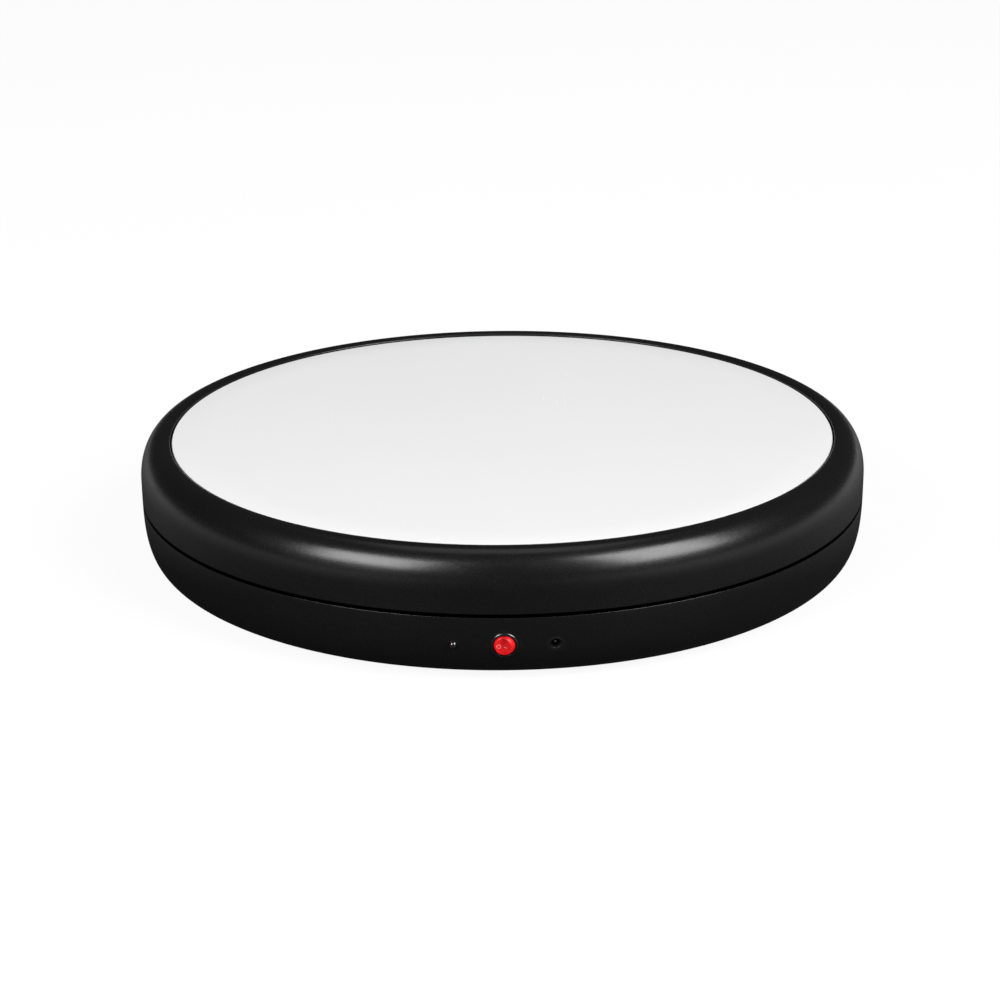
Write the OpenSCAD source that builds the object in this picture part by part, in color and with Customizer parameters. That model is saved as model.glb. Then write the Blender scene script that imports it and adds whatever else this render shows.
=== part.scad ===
// Motor-driven round display turntable.
// A black base shell stands on rubber feet and holds a steel spindle, a
// gearmotor, six support rollers and the controls. A black rim shell with a
// white top panel turns above the seam, on two ball bearings in a hub.
// Millimetres, +Z up. The origin is the centre of the plane the feet stand on.
// The controls are on the -Y side.

/* [Shells] */
// Outside diameter at the widest line
body_d = 520; // [516:1:530]
// Height of both shells together, from the flat underside to the rim's crest
shell_h = 85.6; // [85.2:0.1:86.4]
// Wall thickness of the shells
wall_t = 3; // [2.6:0.1:3.2]
// Open height of the seam between the base and the turning rim
seam_gap = 2.4; // [1.4:0.1:2.6]

/* [Top panel] */
// Radial gap between the white panel and the rim
panel_gap = 1.3; // [0.8:0.1:2]
// Panel thickness
panel_t = 4; // [3.4:0.1:4.2]
// Radius of the panel's top edge
panel_edge_r = 0.6; // [0.3:0.1:1]

/* [Feet] */
// Foot radius at the floor
foot_r = 11; // [10:0.5:13]
// Radius of the circle the feet stand on
foot_circle_r = 215; // [212:1:218]

/* [Rollers] */
// Running clearance between a roller and its axle
roller_fit = 0.06; // [0.05:0.01:0.1]
// Roller width
roller_w = 12; // [10:0.5:12.5]

/* [Controls] */
// Height of the control centres above the floor plane
control_z = 28.6; // [27:0.1:30]
// Angle between the switch and its neighbours, as seen from above
control_step = 7.25; // [6.8:0.05:8]
// Travel of the rocker switch, in degrees
rocker_travel = 22; // [16:1:24]

/* [Hidden] */
$fn = 96;
shell_fn = 180;
overlap = 0.01;
shell_black = [0.09, 0.09, 0.095];
gearbox_grey = [0.16, 0.16, 0.17];
wire_red = [0.7, 0.1, 0.1];
wire_black = [0.1, 0.1, 0.1];

// ---- levels above the floor plane ----
foot_h = 4.4;                 // the shell's flat underside
floor_top = foot_h + 3;
seam_h = 0.5187 * shell_h;    // middle of the seam, above the underside
seam_z = foot_h + seam_h;
crest_z = foot_h + shell_h;
panel_top = crest_z - 1.8;
tape_top = panel_top - panel_t;
deck_top = 83.4;              // the rim shell's flat deck, under the panel
deck_low = deck_top - 3;

// ---- section curves of the shells ----
body_r = body_d / 2;
widest_h = 0.69733 * shell_h; // widest line, above the underside
crest_r = 0.9361 * body_r;
underside_r = 0.8939 * body_r;
lip_r = crest_r - 5;
panel_r = lip_r - panel_gap;
upper_power = 2.113;          // exponents of the two curves
lower_power = 3.677;

// points of the curves above and below the widest line, by curve angle
function upper_point(angle) = [
  crest_r + (body_r - crest_r) * pow(cos(angle), 2 / upper_power),
  foot_h + widest_h + (shell_h - widest_h) * pow(sin(angle), 2 / upper_power)];
function lower_point(angle) = [
  underside_r + (body_r - underside_r) * pow(cos(angle), 2 / lower_power),
  foot_h + widest_h - widest_h * pow(sin(angle), 2 / lower_power)];
// curve angle and radius of the lower curve at a height above the underside
function lower_angle(height) = asin(pow((widest_h - height) / widest_h, lower_power / 2));
function lower_radius(height) = underside_r + (body_r - underside_r)
  * pow(1 - pow((widest_h - height) / widest_h, lower_power), 1 / lower_power);
// a curve drawn from the top down, moved inwards along its local normal
function inward(from, to) = let (step = to - from) [step[1], -step[0]] / norm(step);
function inset(points, distance) = [for (i = [0:len(points) - 1])
  points[i] + distance * inward(points[max(i - 1, 0)], points[min(i + 1, len(points) - 1)])];
function reversed(list) = [for (i = [len(list) - 1:-1:0]) list[i]];

rim_end_angle = lower_angle(seam_h + seam_gap / 2);    // where the rim's skirt ends
base_start_angle = lower_angle(seam_h - seam_gap / 2); // where the base's wall starts

// ---- placing and shape helpers ----
module at_z(z) {
  translate([0, 0, z]) children();
}
module at_xy(point) {
  translate([point[0], point[1], 0]) children();
}
// copies spaced evenly on a circle, each turned with its place
module around(count, radius = 0, first = 0) {
  for (i = [0:count - 1])
    rotate([0, 0, first + 360 * i / count]) translate([radius, 0, 0]) children();
}
module tube(outer_r, inner_r, height) {
  difference() {
    cylinder(r = outer_r, h = height);
    at_z(-1) cylinder(r = inner_r, h = height + 2);
  }
}
module rounded_plate(low, high, corner_r, height) {
  size = high - low;
  union() {
    translate([low[0] + corner_r, low[1], 0]) cube([size[0] - 2 * corner_r, size[1], height]);
    translate([low[0], low[1] + corner_r, 0]) cube([size[0], size[1] - 2 * corner_r, height]);
    for (x = [low[0] + corner_r, high[0] - corner_r], y = [low[1] + corner_r, high[1] - corner_r])
      translate([x, y, 0]) cylinder(r = corner_r, h = height);
  }
}
// cutter for the cross recess in a screw head
module cross_slot(length, width, z, depth) {
  for (angle = [0, 90])
    rotate([0, 0, angle]) translate([-length / 2, -width / 2, z]) cube([length, width, depth]);
}

// ---- involute gears ----
pressure_angle = 20;
function involute(angle) = tan(angle) * 180 / PI - angle;
// half the angle one tooth covers at a radius, in degrees
function half_tooth(mod, teeth, shift, backlash, radius) =
  let (pitch_r = mod * teeth / 2, base_r = pitch_r * cos(pressure_angle))
  90 / teeth + 2 * shift * tan(pressure_angle) / teeth * 180 / PI
  - backlash / (2 * pitch_r) * 180 / PI + involute(pressure_angle)
  - (radius <= base_r ? 0 : involute(acos(base_r / radius)));
// one flank point; side is -1 or 1
function flank_point(mod, teeth, shift, backlash, radius, middle, side) =
  let (angle = middle + side * half_tooth(mod, teeth, shift, backlash, radius))
  radius * [cos(angle), sin(angle)];
// a gear's outline, with so many steps up each flank
function gear_outline(mod, teeth, shift, backlash, tip_r, root_r, steps) =
  let (radii = [for (j = [0:steps]) root_r + (tip_r - root_r) * j / steps])
  [for (i = [0:teeth - 1]) let (middle = 360 * i / teeth) each concat(
    [for (radius = radii)
      flank_point(mod, teeth, shift, backlash, radius, middle, -1)],
    [for (radius = reversed(radii))
      flank_point(mod, teeth, shift, backlash, radius, middle, 1)])];
module gear(mod, teeth, shift, height, steps = 3, backlash = 0.08) {
  pitch_r = mod * teeth / 2;
  linear_extrude(height = height)
    polygon(gear_outline(mod, teeth, shift, backlash,
      pitch_r + mod * (1 + shift), pitch_r - mod * (1.25 - shift), steps));
}

// ---- drive train ----
pinion_teeth = 16;
ring_teeth = 144;
wheel_teeth = 60;             // large wheels of the idlers
small_teeth = 12;             // small pinions
output_teeth = 48;
drive_mod = 1.25;
output_mod = 0.8;
idler_mod = 0.5;
drive_shift = 0.25;           // profile shift of the pinion and the ring
small_shift = 0.35;           // profile shift of the small pinions; the wheels have the opposite
output_distance = output_mod * (output_teeth + small_teeth) / 2;
idler_distance = idler_mod * (wheel_teeth + small_teeth) / 2;
output_angle = 60;            // direction from the output gear to idler 2
idler_angle = 150;            // from idler 2 to idler 1
motor_angle = 60;             // from idler 1 to the motor
output_at = [0, drive_mod * (ring_teeth - pinion_teeth) / 2];
idler_2_at = output_at + output_distance * [cos(output_angle), sin(output_angle)];
idler_1_at = idler_2_at + idler_distance * [cos(idler_angle), sin(idler_angle)];
motor_at = idler_1_at + idler_distance * [cos(motor_angle), sin(motor_angle)];
idlers_at = [idler_2_at, idler_1_at];
// turns a small pinion so that its teeth mesh with the wheel it drives
function mesh_turn(angle) = angle + 180 + 180 / small_teeth;

box_low = [-24, 56];
box_high = [31, 145];
box_z = 42;
box_top = 60;
box_corner_r = 5;
box_wall_t = 1.8;
cover_t = 2;
lid_inset = 3.5;              // lid screws, in from the box's sides
lid_holes = [for (x = [box_low[0] + lid_inset, box_high[0] - lid_inset],
  y = [box_low[1] + lid_inset, box_high[1] - lid_inset]) [x, y]];
plate_z = box_top + cover_t;
plate_t = 2;
plate_posts = [for (x = [-42, 49], y = [66, 136]) [x, y]];
ring_gear_r = 101;
ring_gear_h = 12;
ring_gear_z = deck_low - ring_gear_h;
ring_screw_r = 96.8;          // radius of the ring gear's screw circle

// ---- rollers and their track ----
roller_circle_r = 190;
roller_r = 14;
axle_r = 4;
track_z = 60;
track_t = 1.5;
track_screw_r = 180.6;        // radius of the track's screw circle
roller_z = track_z - roller_r - 0.05;
bracket_z = floor_top + 6;
bracket_t = 3;
bracket_screw_y = 14;
bracket_half_w = roller_w / 2 + 0.9; // middle of the roller to a cheek's inner face

// ---- spindle, bearings and hub ----
spindle_r = 10;
shoulder_r = 13;
spindle_screw_r = 22;         // radius of the flange's screw circle
hub_screw_r = 36;
ball_r = 3.175;
ball_circle_r = 15.5;
groove_r = ball_r + 0.06;
lower_bearing_z = 40;
upper_bearing_z = 60;
bearing_levels = [lower_bearing_z, upper_bearing_z];
bearing_h = 12;
spacer_z = lower_bearing_z + bearing_h;
washer_z = upper_bearing_z + bearing_h;
washer_t = 1.8;

// ---- control board ----
post_h = 14;
board_z = floor_top + post_h;
board_t = 1.6;
parts_z = board_z + 1.62;     // underside of the capacitor and the connectors
board_holes = [for (x = [-31, 31], y = [-161, -119]) [x, y]];
motor_plug = [-22, -122];
front_plug_x = 24;
front_plug_y = -157;
plugs = concat([motor_plug], [for (i = [-1:1]) [i * front_plug_x, front_plug_y]]);
plug_wire_x = 1.2;            // each wire, off the middle of its plug

// ---- front controls ----
switch_angle = 0;
socket_angle = control_step;
indicator_angle = -control_step;
control_h = control_z - foot_h;
control_wall_r = lower_radius(control_h);
// the wall leans, so each control's axis leans with it
wall_tilt = atan((lower_radius(control_h + 5) - lower_radius(control_h - 5)) / 10);
switch_body_r = 8.3;
bezel_r = 9.05;
bezel_seat_z = -0.45;
bezel_h = 1.05;
switch_bore_r = 7.5;
rocker_r = 7.1;
pivot_z = -1.6;
rocker_slope = 12;            // slope of each half of the rocker
rocker_face = 3.5;            // height of the middle of its face above the pivot
switch_blade_x = 3.4;
socket_blade_x = 2.6;
indicator_leg_x = 1.27;

// a control's own frame: origin on the wall's surface, +z outwards along its axis
module on_wall(angle) {
  rotate([0, 0, angle]) translate([0, -control_wall_r, control_z])
    rotate([90 + wall_tilt, 0, 0]) children();
}
// a point given in a control's own frame
function wall_point(angle, x, y, z) =
  let (tilt = 90 + wall_tilt,
    out_y = -control_wall_r + y * cos(tilt) - z * sin(tilt))
  [x * cos(angle) - out_y * sin(angle), x * sin(angle) + out_y * cos(angle),
    control_z + y * sin(tilt) + z * cos(tilt)];

// ========================== base group =====================================
module base_section() {
  outer = [for (i = [0:22]) lower_point(base_start_angle + (90 - base_start_angle) * i / 22)];
  inner = reversed([for (p = inset(outer, wall_t))
    if (p[1] > floor_top && p[1] < seam_z - 12) p]);
  top = outer[0][1];
  baffle_r = body_r - wall_t - 2.6; // outer face of the baffle that stands up inside the rim
  // the ledge between wall and baffle slopes inwards, so the seam looks dark
  polygon(concat(
    [[outer[0][0] - 0.8, top], outer[0] - [0, 0.8]],
    [for (i = [2:22]) outer[i]],
    [[0, foot_h], [0, floor_top], [inner[0][0] - 1.5, floor_top]],
    inner,
    [[baffle_r - 2, seam_z - 8.5], [baffle_r - 2, seam_z + 6], [baffle_r - 1.6, seam_z + 6.5],
     [baffle_r - 0.4, seam_z + 6.5], [baffle_r, seam_z + 6], [baffle_r, top - 3]]));
}

rib_t = 2.4;
rib_h = 10;
module floor_ribs() {
  intersection() {
    at_z(floor_top - overlap) union() {
      around(12, first = 15) translate([64, -rib_t / 2, 0]) cube([184, rib_t, rib_h + overlap]);
      for (radius = [60.8, 150, 228])
        tube(radius + rib_t / 2, radius - rib_t / 2, rib_h + overlap);
    }
    cylinder(r = 248.6, h = 40);
  }
}

module floor_posts() {
  at_z(floor_top - overlap) {
    for (post = plate_posts)
      at_xy(post) cylinder(r = 5, h = plate_z - 1.5 - floor_top + overlap);
    around(6, roller_circle_r) for (y = [-bracket_screw_y, bracket_screw_y])
      translate([0, y, 0]) cylinder(r = 5, h = bracket_z - floor_top + overlap);
    around(6, foot_circle_r, 30) cylinder(r = 4.5, h = 8 + overlap);
    for (hole = board_holes) at_xy(hole) cylinder(r = 3.2, h = post_h + overlap);
  }
}

// flat pads inside the wall, behind the controls
module control_pads() {
  for (angle = [indicator_angle, switch_angle, socket_angle]) intersection() {
    on_wall(angle) at_z(-5) cylinder(r = angle == switch_angle ? 11.5 : 8, h = 5);
    rotate_extrude($fn = shell_fn) polygon([[200, floor_top], [248, floor_top],
      [body_r - 1.9, control_z], [body_r - wall_t, 44], [200, 44]]);
  }
}

module control_openings() {
  on_wall(switch_angle) at_z(-8) cylinder(r = switch_body_r + 0.05, h = 12);
  on_wall(switch_angle) at_z(bezel_seat_z) cylinder(r = bezel_r + 0.2, h = 4);
  on_wall(socket_angle) at_z(-8) cylinder(r = 4.6, h = 12);
  on_wall(indicator_angle) at_z(-8) cylinder(r = 2.75, h = 12);
}

module base_screw_holes() {
  for (post = plate_posts) at_xy(post) at_z(plate_z - 16) cylinder(r = 1.7, h = 20);
  around(6, roller_circle_r) for (y = [-bracket_screw_y, bracket_screw_y])
    translate([0, y, foot_h + 1.6]) cylinder(r = 1.7, h = 20);
  around(6, foot_circle_r, 30) at_z(foot_h - 1) cylinder(r = 1.55, h = 12);
  for (hole = board_holes) at_xy(hole) at_z(12) cylinder(r = 1.3, h = 20);
  around(4, spindle_screw_r, 45) at_z(foot_h) {
    at_z(-1) cylinder(r = 2.6, h = 6);
    at_z(-overlap) cylinder(r1 = 4.75, r2 = 2.6, h = 2.2);
  }
}

module base_shell() {
  color(shell_black) difference() {
    union() {
      rotate_extrude($fn = shell_fn) base_section();
      // cut short of the motor
      difference() {
        union() {
          floor_ribs();
          floor_posts();
        }
        at_xy(motor_at) at_z(floor_top) cylinder(r = 21, h = 60);
      }
      control_pads();
    }
    control_openings();
    base_screw_holes();
  }
}

module rubber_feet() {
  color([0.05, 0.05, 0.05]) around(6, foot_circle_r, 30) difference() {
    rotate_extrude() polygon([[0, 0], [foot_r - 0.6, 0], [foot_r, 0.6],
      [foot_r + 1.2, foot_h], [0, foot_h]]);
    at_z(-1) cylinder(r = 3.6, h = 3.2);
    cylinder(r = 1.55, h = 10);
  }
}

module foot_screws() {
  color("silver") around(6, foot_circle_r, 30) difference() {
    union() {
      at_z(0.9) cylinder(r = 3.1, h = 1.3);
      at_z(2.1) cylinder(r = 1.5, h = 11);
    }
    cross_slot(3.6, 0.8, 0, 1.6);
  }
}

module spindle() {
  color("gainsboro") difference() {
    rotate_extrude() polygon([[0, floor_top], [30, floor_top], [30, floor_top + 4.2],
      [29.2, floor_top + 5], [15, floor_top + 5], [shoulder_r, floor_top + 7],
      [shoulder_r, lower_bearing_z], [spindle_r, lower_bearing_z], [spindle_r, 73],
      [9.6, 73.4], [9.6, 82.4], [9, 83], [0, 83]]);
    around(4, spindle_screw_r, 45) cylinder(r = 2.5, h = 20);
    at_z(79) cylinder(r = 2.5, h = 10, $fn = 6);
  }
}

module spindle_screws() {
  color("silver") around(4, spindle_screw_r, 45) at_z(foot_h) difference() {
    union() {
      at_z(0.1) cylinder(r1 = 4.6, r2 = 2.45, h = 2.1);
      cylinder(r = 2.45, h = 8.4);
    }
    at_z(-1) cylinder(r = 1.5, h = 2.6, $fn = 6);
  }
}

// ---- bearings ----
// one race at each bearing level, with chamfered edges and a ball groove
module races(inner_r, outer_r) {
  edge = 0.3;
  width = outer_r - inner_r;
  for (z = bearing_levels) at_z(z) rotate_extrude() difference() {
    translate([inner_r, 0]) polygon([[edge, 0], [width - edge, 0], [width, edge],
      [width, bearing_h - edge], [width - edge, bearing_h], [edge, bearing_h],
      [0, bearing_h - edge], [0, edge]]);
    translate([ball_circle_r, bearing_h / 2]) circle(r = groove_r, $fn = 64);
  }
}

module bearing_inner_races() {
  color("lightsteelblue") races(10.02, 13.3);
}

module bearing_outer_races() {
  color("lightsteelblue") races(17.7, 20.98);
}

module bearing_balls() {
  color("white") for (z = bearing_levels)
    at_z(z + bearing_h / 2) around(9, ball_circle_r) sphere(r = ball_r, $fn = 32);
}

module bearing_cages() {
  color("goldenrod") for (z = bearing_levels) at_z(z + bearing_h / 2) difference() {
    at_z(-4.5) tube(16.4, 14.6, 8);
    around(9, ball_circle_r) rotate([0, 90, 0]) at_z(-4) cylinder(r = ball_r + 0.12, h = 8);
    // opens each pocket upwards, as a snap-in cage does
    around(9, ball_circle_r) translate([-3, -2.5, 0]) cube([6, 5, 4]);
  }
}

module bearing_spacer() {
  color("silver") at_z(spacer_z) tube(12.4, 10.03, upper_bearing_z - spacer_z);
}

module spindle_washer() {
  color("silver") at_z(washer_z) tube(13.2, 10.05, washer_t);
}

module spindle_nut() {
  height = 8;
  color("dimgray") at_z(washer_z + washer_t) difference() {
    intersection() {
      cylinder(r = 17.32, h = height, $fn = 6);
      rotate_extrude() polygon([[0, 0], [15.6, 0], [17.4, 1.2], [17.4, height - 1.2],
        [15.6, height], [0, height]]);
    }
    at_z(-1) cylinder(r = 9.62, h = 12);
  }
}

// ---- support rollers ----
module roller_bracket() {
  difference() {
    union() {
      translate([-12, -20, bracket_z]) cube([24, 40, bracket_t]);
      // two cheeks with round tops, each with a low web at both sides
      for (x = [-bracket_half_w - bracket_t, bracket_half_w]) {
        translate([x, -9, bracket_z]) cube([bracket_t, 18, roller_z - bracket_z]);
        translate([x, 0, roller_z]) rotate([0, 90, 0]) cylinder(r = 7.74, h = bracket_t);
        for (y = [-11.5, 9.1]) translate([x, y, bracket_z]) cube([bracket_t, 2.4, 12]);
      }
    }
    translate([-20, 0, roller_z]) rotate([0, 90, 0]) cylinder(r = axle_r, h = 40);
    for (y = [-bracket_screw_y, bracket_screw_y])
      translate([0, y, bracket_z - 1]) cylinder(r = 2.1, h = 6);
    // the roller's own space
    translate([-bracket_half_w, -roller_r - 2, roller_z - roller_r - 1.5])
      cube([2 * bracket_half_w, 2 * roller_r + 4, 40]);
  }
}

module roller_brackets() {
  color("whitesmoke") around(6, roller_circle_r) roller_bracket();
}

module bracket_screws() {
  color("silver") around(6, roller_circle_r) for (y = [-bracket_screw_y, bracket_screw_y])
    translate([0, y, bracket_z + bracket_t]) difference() {
      union() {
        cylinder(r = 3.6, h = 2.2);
        at_z(-9.5) cylinder(r = 1.65, h = 10);
      }
      cross_slot(4, 0.8, 1.1, 2);
    }
}

module roller_axles() {
  length = 2 * (bracket_half_w + bracket_t) + 2.4;
  color("silver") around(6, roller_circle_r)
    translate([-length / 2, 0, roller_z]) rotate([0, 90, 0]) union() {
      at_z(1) cylinder(r = axle_r, h = length - 1.5);
      cylinder(r = axle_r + 1.5, h = 1.2);
      at_z(length - 0.5) cylinder(r1 = axle_r, r2 = axle_r - 0.5, h = 0.5);
    }
}

// number 1 stands on +X, the others follow counter-clockwise seen from above
module support_roller(number) {
  side = roller_w / 2;
  half = [[axle_r + roller_fit, side], [axle_r + 3, side], [axle_r + 3, side - 1],
    [roller_r - 2.5, side - 1], [roller_r - 2.5, side], [roller_r - 0.8, side],
    [roller_r, side - 0.8]];
  color([0.2, 0.2, 0.22]) rotate([0, 0, 60 * (number - 1)])
    translate([roller_circle_r, 0, roller_z]) rotate([0, 90, 0]) rotate_extrude()
      polygon(concat([for (p = half) [p[0], -p[1]]], reversed(half)));
}
module support_roller_1() { support_roller(1); }
module support_roller_2() { support_roller(2); }
module support_roller_3() { support_roller(3); }
module support_roller_4() { support_roller(4); }
module support_roller_5() { support_roller(5); }
module support_roller_6() { support_roller(6); }

// ========================== drive ==========================================
module motor_plate() {
  color("silver") difference() {
    at_z(plate_z) rounded_plate([-49, box_low[1]], [56, box_high[1]], 7, plate_t);
    for (post = plate_posts) at_xy(post) cylinder(r = 3.6, h = 100);
    at_xy(output_at) cylinder(r = 8, h = 100);
    for (hole = lid_holes) at_xy(hole) cylinder(r = 1.7, h = 100);
    for (x = [-33, 41]) translate([x, 101, 0]) cylinder(r = 6, h = 100);
    // clear of the turning hub
    cylinder(r = 50, h = 100);
  }
}

module plate_grommets() {
  color([0.07, 0.07, 0.07]) for (post = plate_posts) at_xy(post) difference() {
    union() {
      at_z(plate_z - 1.45) cylinder(r = 5.6, h = 1.4);
      at_z(plate_z - 1.4) cylinder(r = 3.55, h = 4.8);
      at_z(plate_z + 2.05) cylinder(r = 5.6, h = 1.4);
    }
    cylinder(r = 1.75, h = 100);
  }
}

module plate_screws() {
  color("silver") for (post = plate_posts) at_xy(post) difference() {
    union() {
      at_z(plate_z + 3.5) cylinder(r = 4.4, h = 0.5);
      at_z(plate_z + 3.9) cylinder(r = 2.9, h = 1.3);
      at_z(plate_z - 13) cylinder(r = 1.65, h = 17);
    }
    cross_slot(3.6, 0.7, plate_z + 4.5, 2);
  }
}

module gearbox_case() {
  wall = [box_wall_t, box_wall_t];
  color(gearbox_grey) difference() {
    at_z(box_z) rounded_plate(box_low, box_high, box_corner_r, box_top - box_z);
    // the cavity, less the screw posts and the pin and shaft bosses
    difference() {
      at_z(box_z + box_wall_t) rounded_plate(box_low + wall, box_high - wall, 4, 40);
      for (hole = lid_holes) at_xy(hole) at_z(box_z) cylinder(r = 3.4, h = 60);
      for (idler = idlers_at) at_xy(idler) at_z(box_z) cylinder(r = 3, h = 3);
      at_xy(output_at) at_z(box_z) cylinder(r = 6, h = 12.4);
    }
    for (hole = lid_holes) at_xy(hole) at_z(box_top - 10) cylinder(r = 1.3, h = 20);
    for (idler = idlers_at) at_xy(idler) at_z(box_z - 1) cylinder(r = 1, h = 30);
    at_xy(output_at) at_z(box_z + 3) cylinder(r = 3.06, h = 30);
    at_xy(motor_at) at_z(box_z - 1) cylinder(r = 4.1, h = 4);
  }
}

module gearbox_cover() {
  color(gearbox_grey) difference() {
    at_z(box_top) rounded_plate(box_low, box_high, box_corner_r, cover_t);
    for (hole = lid_holes) at_xy(hole) cylinder(r = 1.7, h = 80);
    for (idler = idlers_at) at_xy(idler) cylinder(r = 1, h = 80);
    at_xy(output_at) cylinder(r = 4.06, h = 80);
  }
}

module gearbox_screws() {
  color("silver") for (hole = lid_holes) at_xy(hole) difference() {
    union() {
      at_z(plate_z + plate_t) cylinder(r = 2.8, h = 1.5);
      at_z(plate_z - 10) cylinder(r = 1.28, h = 12.1);
    }
    cross_slot(3.2, 0.6, plate_z + 2.8, 2);
  }
}

module gear_pins() {
  color("silver") for (idler = idlers_at)
    at_xy(idler) at_z(box_z + 0.3) cylinder(r = 0.98, h = 19.4);
}

module motor_can() {
  color("gainsboro") at_xy(motor_at) difference() {
    rotate_extrude() polygon([[0, 13], [16.2, 13], [17, 13.8], [17, 39.5], [15.6, 41],
      [6, 41], [6, 42], [0, 42]]);
    at_z(12) cylinder(r = 15.9, h = 26.6);
    at_z(12) cylinder(r = 1.6, h = 40);
  }
}

motor_blade_x = 9;
module motor_end_cap() {
  color([0.1, 0.1, 0.1]) at_xy(motor_at) difference() {
    union() {
      at_z(11) cylinder(r = 15.9, h = 2);
      at_z(13) cylinder(r = 15.85, h = 1.6);
      at_z(9) cylinder(r = 4, h = 3);
    }
    at_z(10.4) cylinder(r = 1.08, h = 8);
    for (x = [-motor_blade_x, motor_blade_x])
      translate([x - 0.45, -2.05, 8]) cube([0.9, 4.1, 10]);
  }
}

module motor_terminals() {
  color("gold") at_xy(motor_at) for (x = [-motor_blade_x, motor_blade_x]) difference() {
    translate([x - 0.4, -2, 8.2]) cube([0.8, 4, 6]);
    translate([x - 2, 0, 9.7]) rotate([0, 90, 0]) cylinder(r = 0.7, h = 4);
  }
}

// each wheel is turned so that its teeth mesh with its neighbour's at rest
module output_gear() {
  color("gainsboro") at_xy(output_at) union() {
    difference() {
      at_z(54.9) rotate([0, 0, output_angle])
        gear(output_mod, output_teeth, -small_shift, 4.2);
      around(6, 11.5) at_z(50) cylinder(r = 2.6, h = 12);
    }
    at_z(box_z + 3.3) cylinder(r = 3, h = 10);
    at_z(54.6) cylinder(r = 3, h = 2);
    at_z(54.9) cylinder(r = 4, h = 25);
    at_z(55) cylinder(r = 6, h = 4.7);
  }
}

idler_bore_r = 1.03;
module idler_gear_2() {
  color("khaki") at_xy(idler_2_at) difference() {
    union() {
      at_z(50.2) rotate([0, 0, idler_angle]) gear(idler_mod, wheel_teeth, -small_shift, 3.8);
      at_z(53.9) rotate([0, 0, mesh_turn(output_angle)])
        gear(output_mod, small_teeth, small_shift, 5.4, steps = 4);
      at_z(45.2) cylinder(r = 2.4, h = 6);
    }
    cylinder(r = idler_bore_r, h = 80);
  }
}

module idler_gear_1() {
  color("khaki") at_xy(idler_1_at) difference() {
    union() {
      at_z(45.4) rotate([0, 0, motor_angle]) gear(idler_mod, wheel_teeth, -small_shift, 3.8);
      at_z(49.1) rotate([0, 0, mesh_turn(idler_angle)])
        gear(idler_mod, small_teeth, small_shift, 5.1, steps = 4);
      at_z(54.2) cylinder(r = 2, h = 5.3);
    }
    cylinder(r = idler_bore_r, h = 80);
  }
}

module motor_rotor() {
  color("khaki") at_xy(motor_at) union() {
    at_z(44.6) rotate([0, 0, mesh_turn(motor_angle)])
      gear(idler_mod, small_teeth, small_shift, 5, steps = 4);
    at_z(10.6) cylinder(r = 1, h = 36);
    at_z(17) cylinder(r = 13.5, h = 18);
    at_z(15) cylinder(r = 5, h = 22.5);
  }
}

module drive_pinion() {
  color("ivory") at_xy(output_at) difference() {
    union() {
      at_z(68.6) gear(drive_mod, pinion_teeth, drive_shift, 11.2, steps = 6, backlash = 0.1);
      at_z(64.9) cylinder(r = 7.2, h = 3.8);
    }
    at_z(60) cylinder(r = 4.02, h = 30);
  }
}

module ring_gear() {
  pitch_r = drive_mod * ring_teeth / 2;
  color("ivory") at_z(ring_gear_z) difference() {
    cylinder(r = ring_gear_r, h = ring_gear_h);
    // the tooth spaces have the shape of the mating outside gear
    at_z(-1) linear_extrude(height = 14)
      polygon(gear_outline(drive_mod, ring_teeth, drive_shift, -0.1,
        pitch_r + drive_mod * (1.25 + drive_shift),
        pitch_r - drive_mod * (0.9 - drive_shift), 2));
    around(6, ring_screw_r, 30) at_z(-1) cylinder(r = 1.7, h = 20);
  }
}

module ring_gear_screws() {
  color("silver") around(6, ring_screw_r, 30) difference() {
    union() {
      at_z(ring_gear_z - 1.8) cylinder(r = 2.9, h = 1.8);
      at_z(68) cylinder(r = 1.65, h = 14.2);
    }
    cross_slot(3.4, 0.6, 66, 1.4);
  }
}

// ========================== electronics ====================================
module control_board() {
  color("darkgreen") difference() {
    translate([-35, -165, board_z]) cube([70, 50, board_t]);
    for (hole = board_holes) at_xy(hole) cylinder(r = 1.7, h = 60);
  }
}

module board_chip() {
  color([0.08, 0.08, 0.08]) union() {
    translate([-5, -146, board_z + 1.7]) cube([10, 10, 1.6]);
    // a row of seven legs on each side
    for (i = [0:6], x = [-5.9, 4.7])
      translate([x, -144.9 + i * 1.27, parts_z]) cube([1.2, 0.45, 0.6]);
  }
}

module board_capacitor() {
  color([0.1, 0.1, 0.3]) translate([22, -132, parts_z]) rotate_extrude()
    polygon([[0, 0], [4.6, 0], [5, 0.5], [5, 1.2], [4.7, 1.5], [5, 1.8], [5, 11.4],
      [4.6, 12], [0, 12]]);
}

module board_connectors() {
  color("whitesmoke") for (plug = plugs) at_xy(plug) at_z(parts_z) difference() {
    translate([-4, -2.8, 0]) cube([8, 5.6, 6]);
    translate([-3.2, -2, 2]) cube([6.4, 4, 6]);
  }
}

module board_screws() {
  color("silver") for (hole = board_holes) at_xy(hole) at_z(board_z + board_t) difference() {
    union() {
      cylinder(r = 2.7, h = 1.7);
      at_z(-9.5) cylinder(r = 1.28, h = 10);
    }
    cross_slot(3.2, 0.6, 0.9, 2);
  }
}

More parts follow.
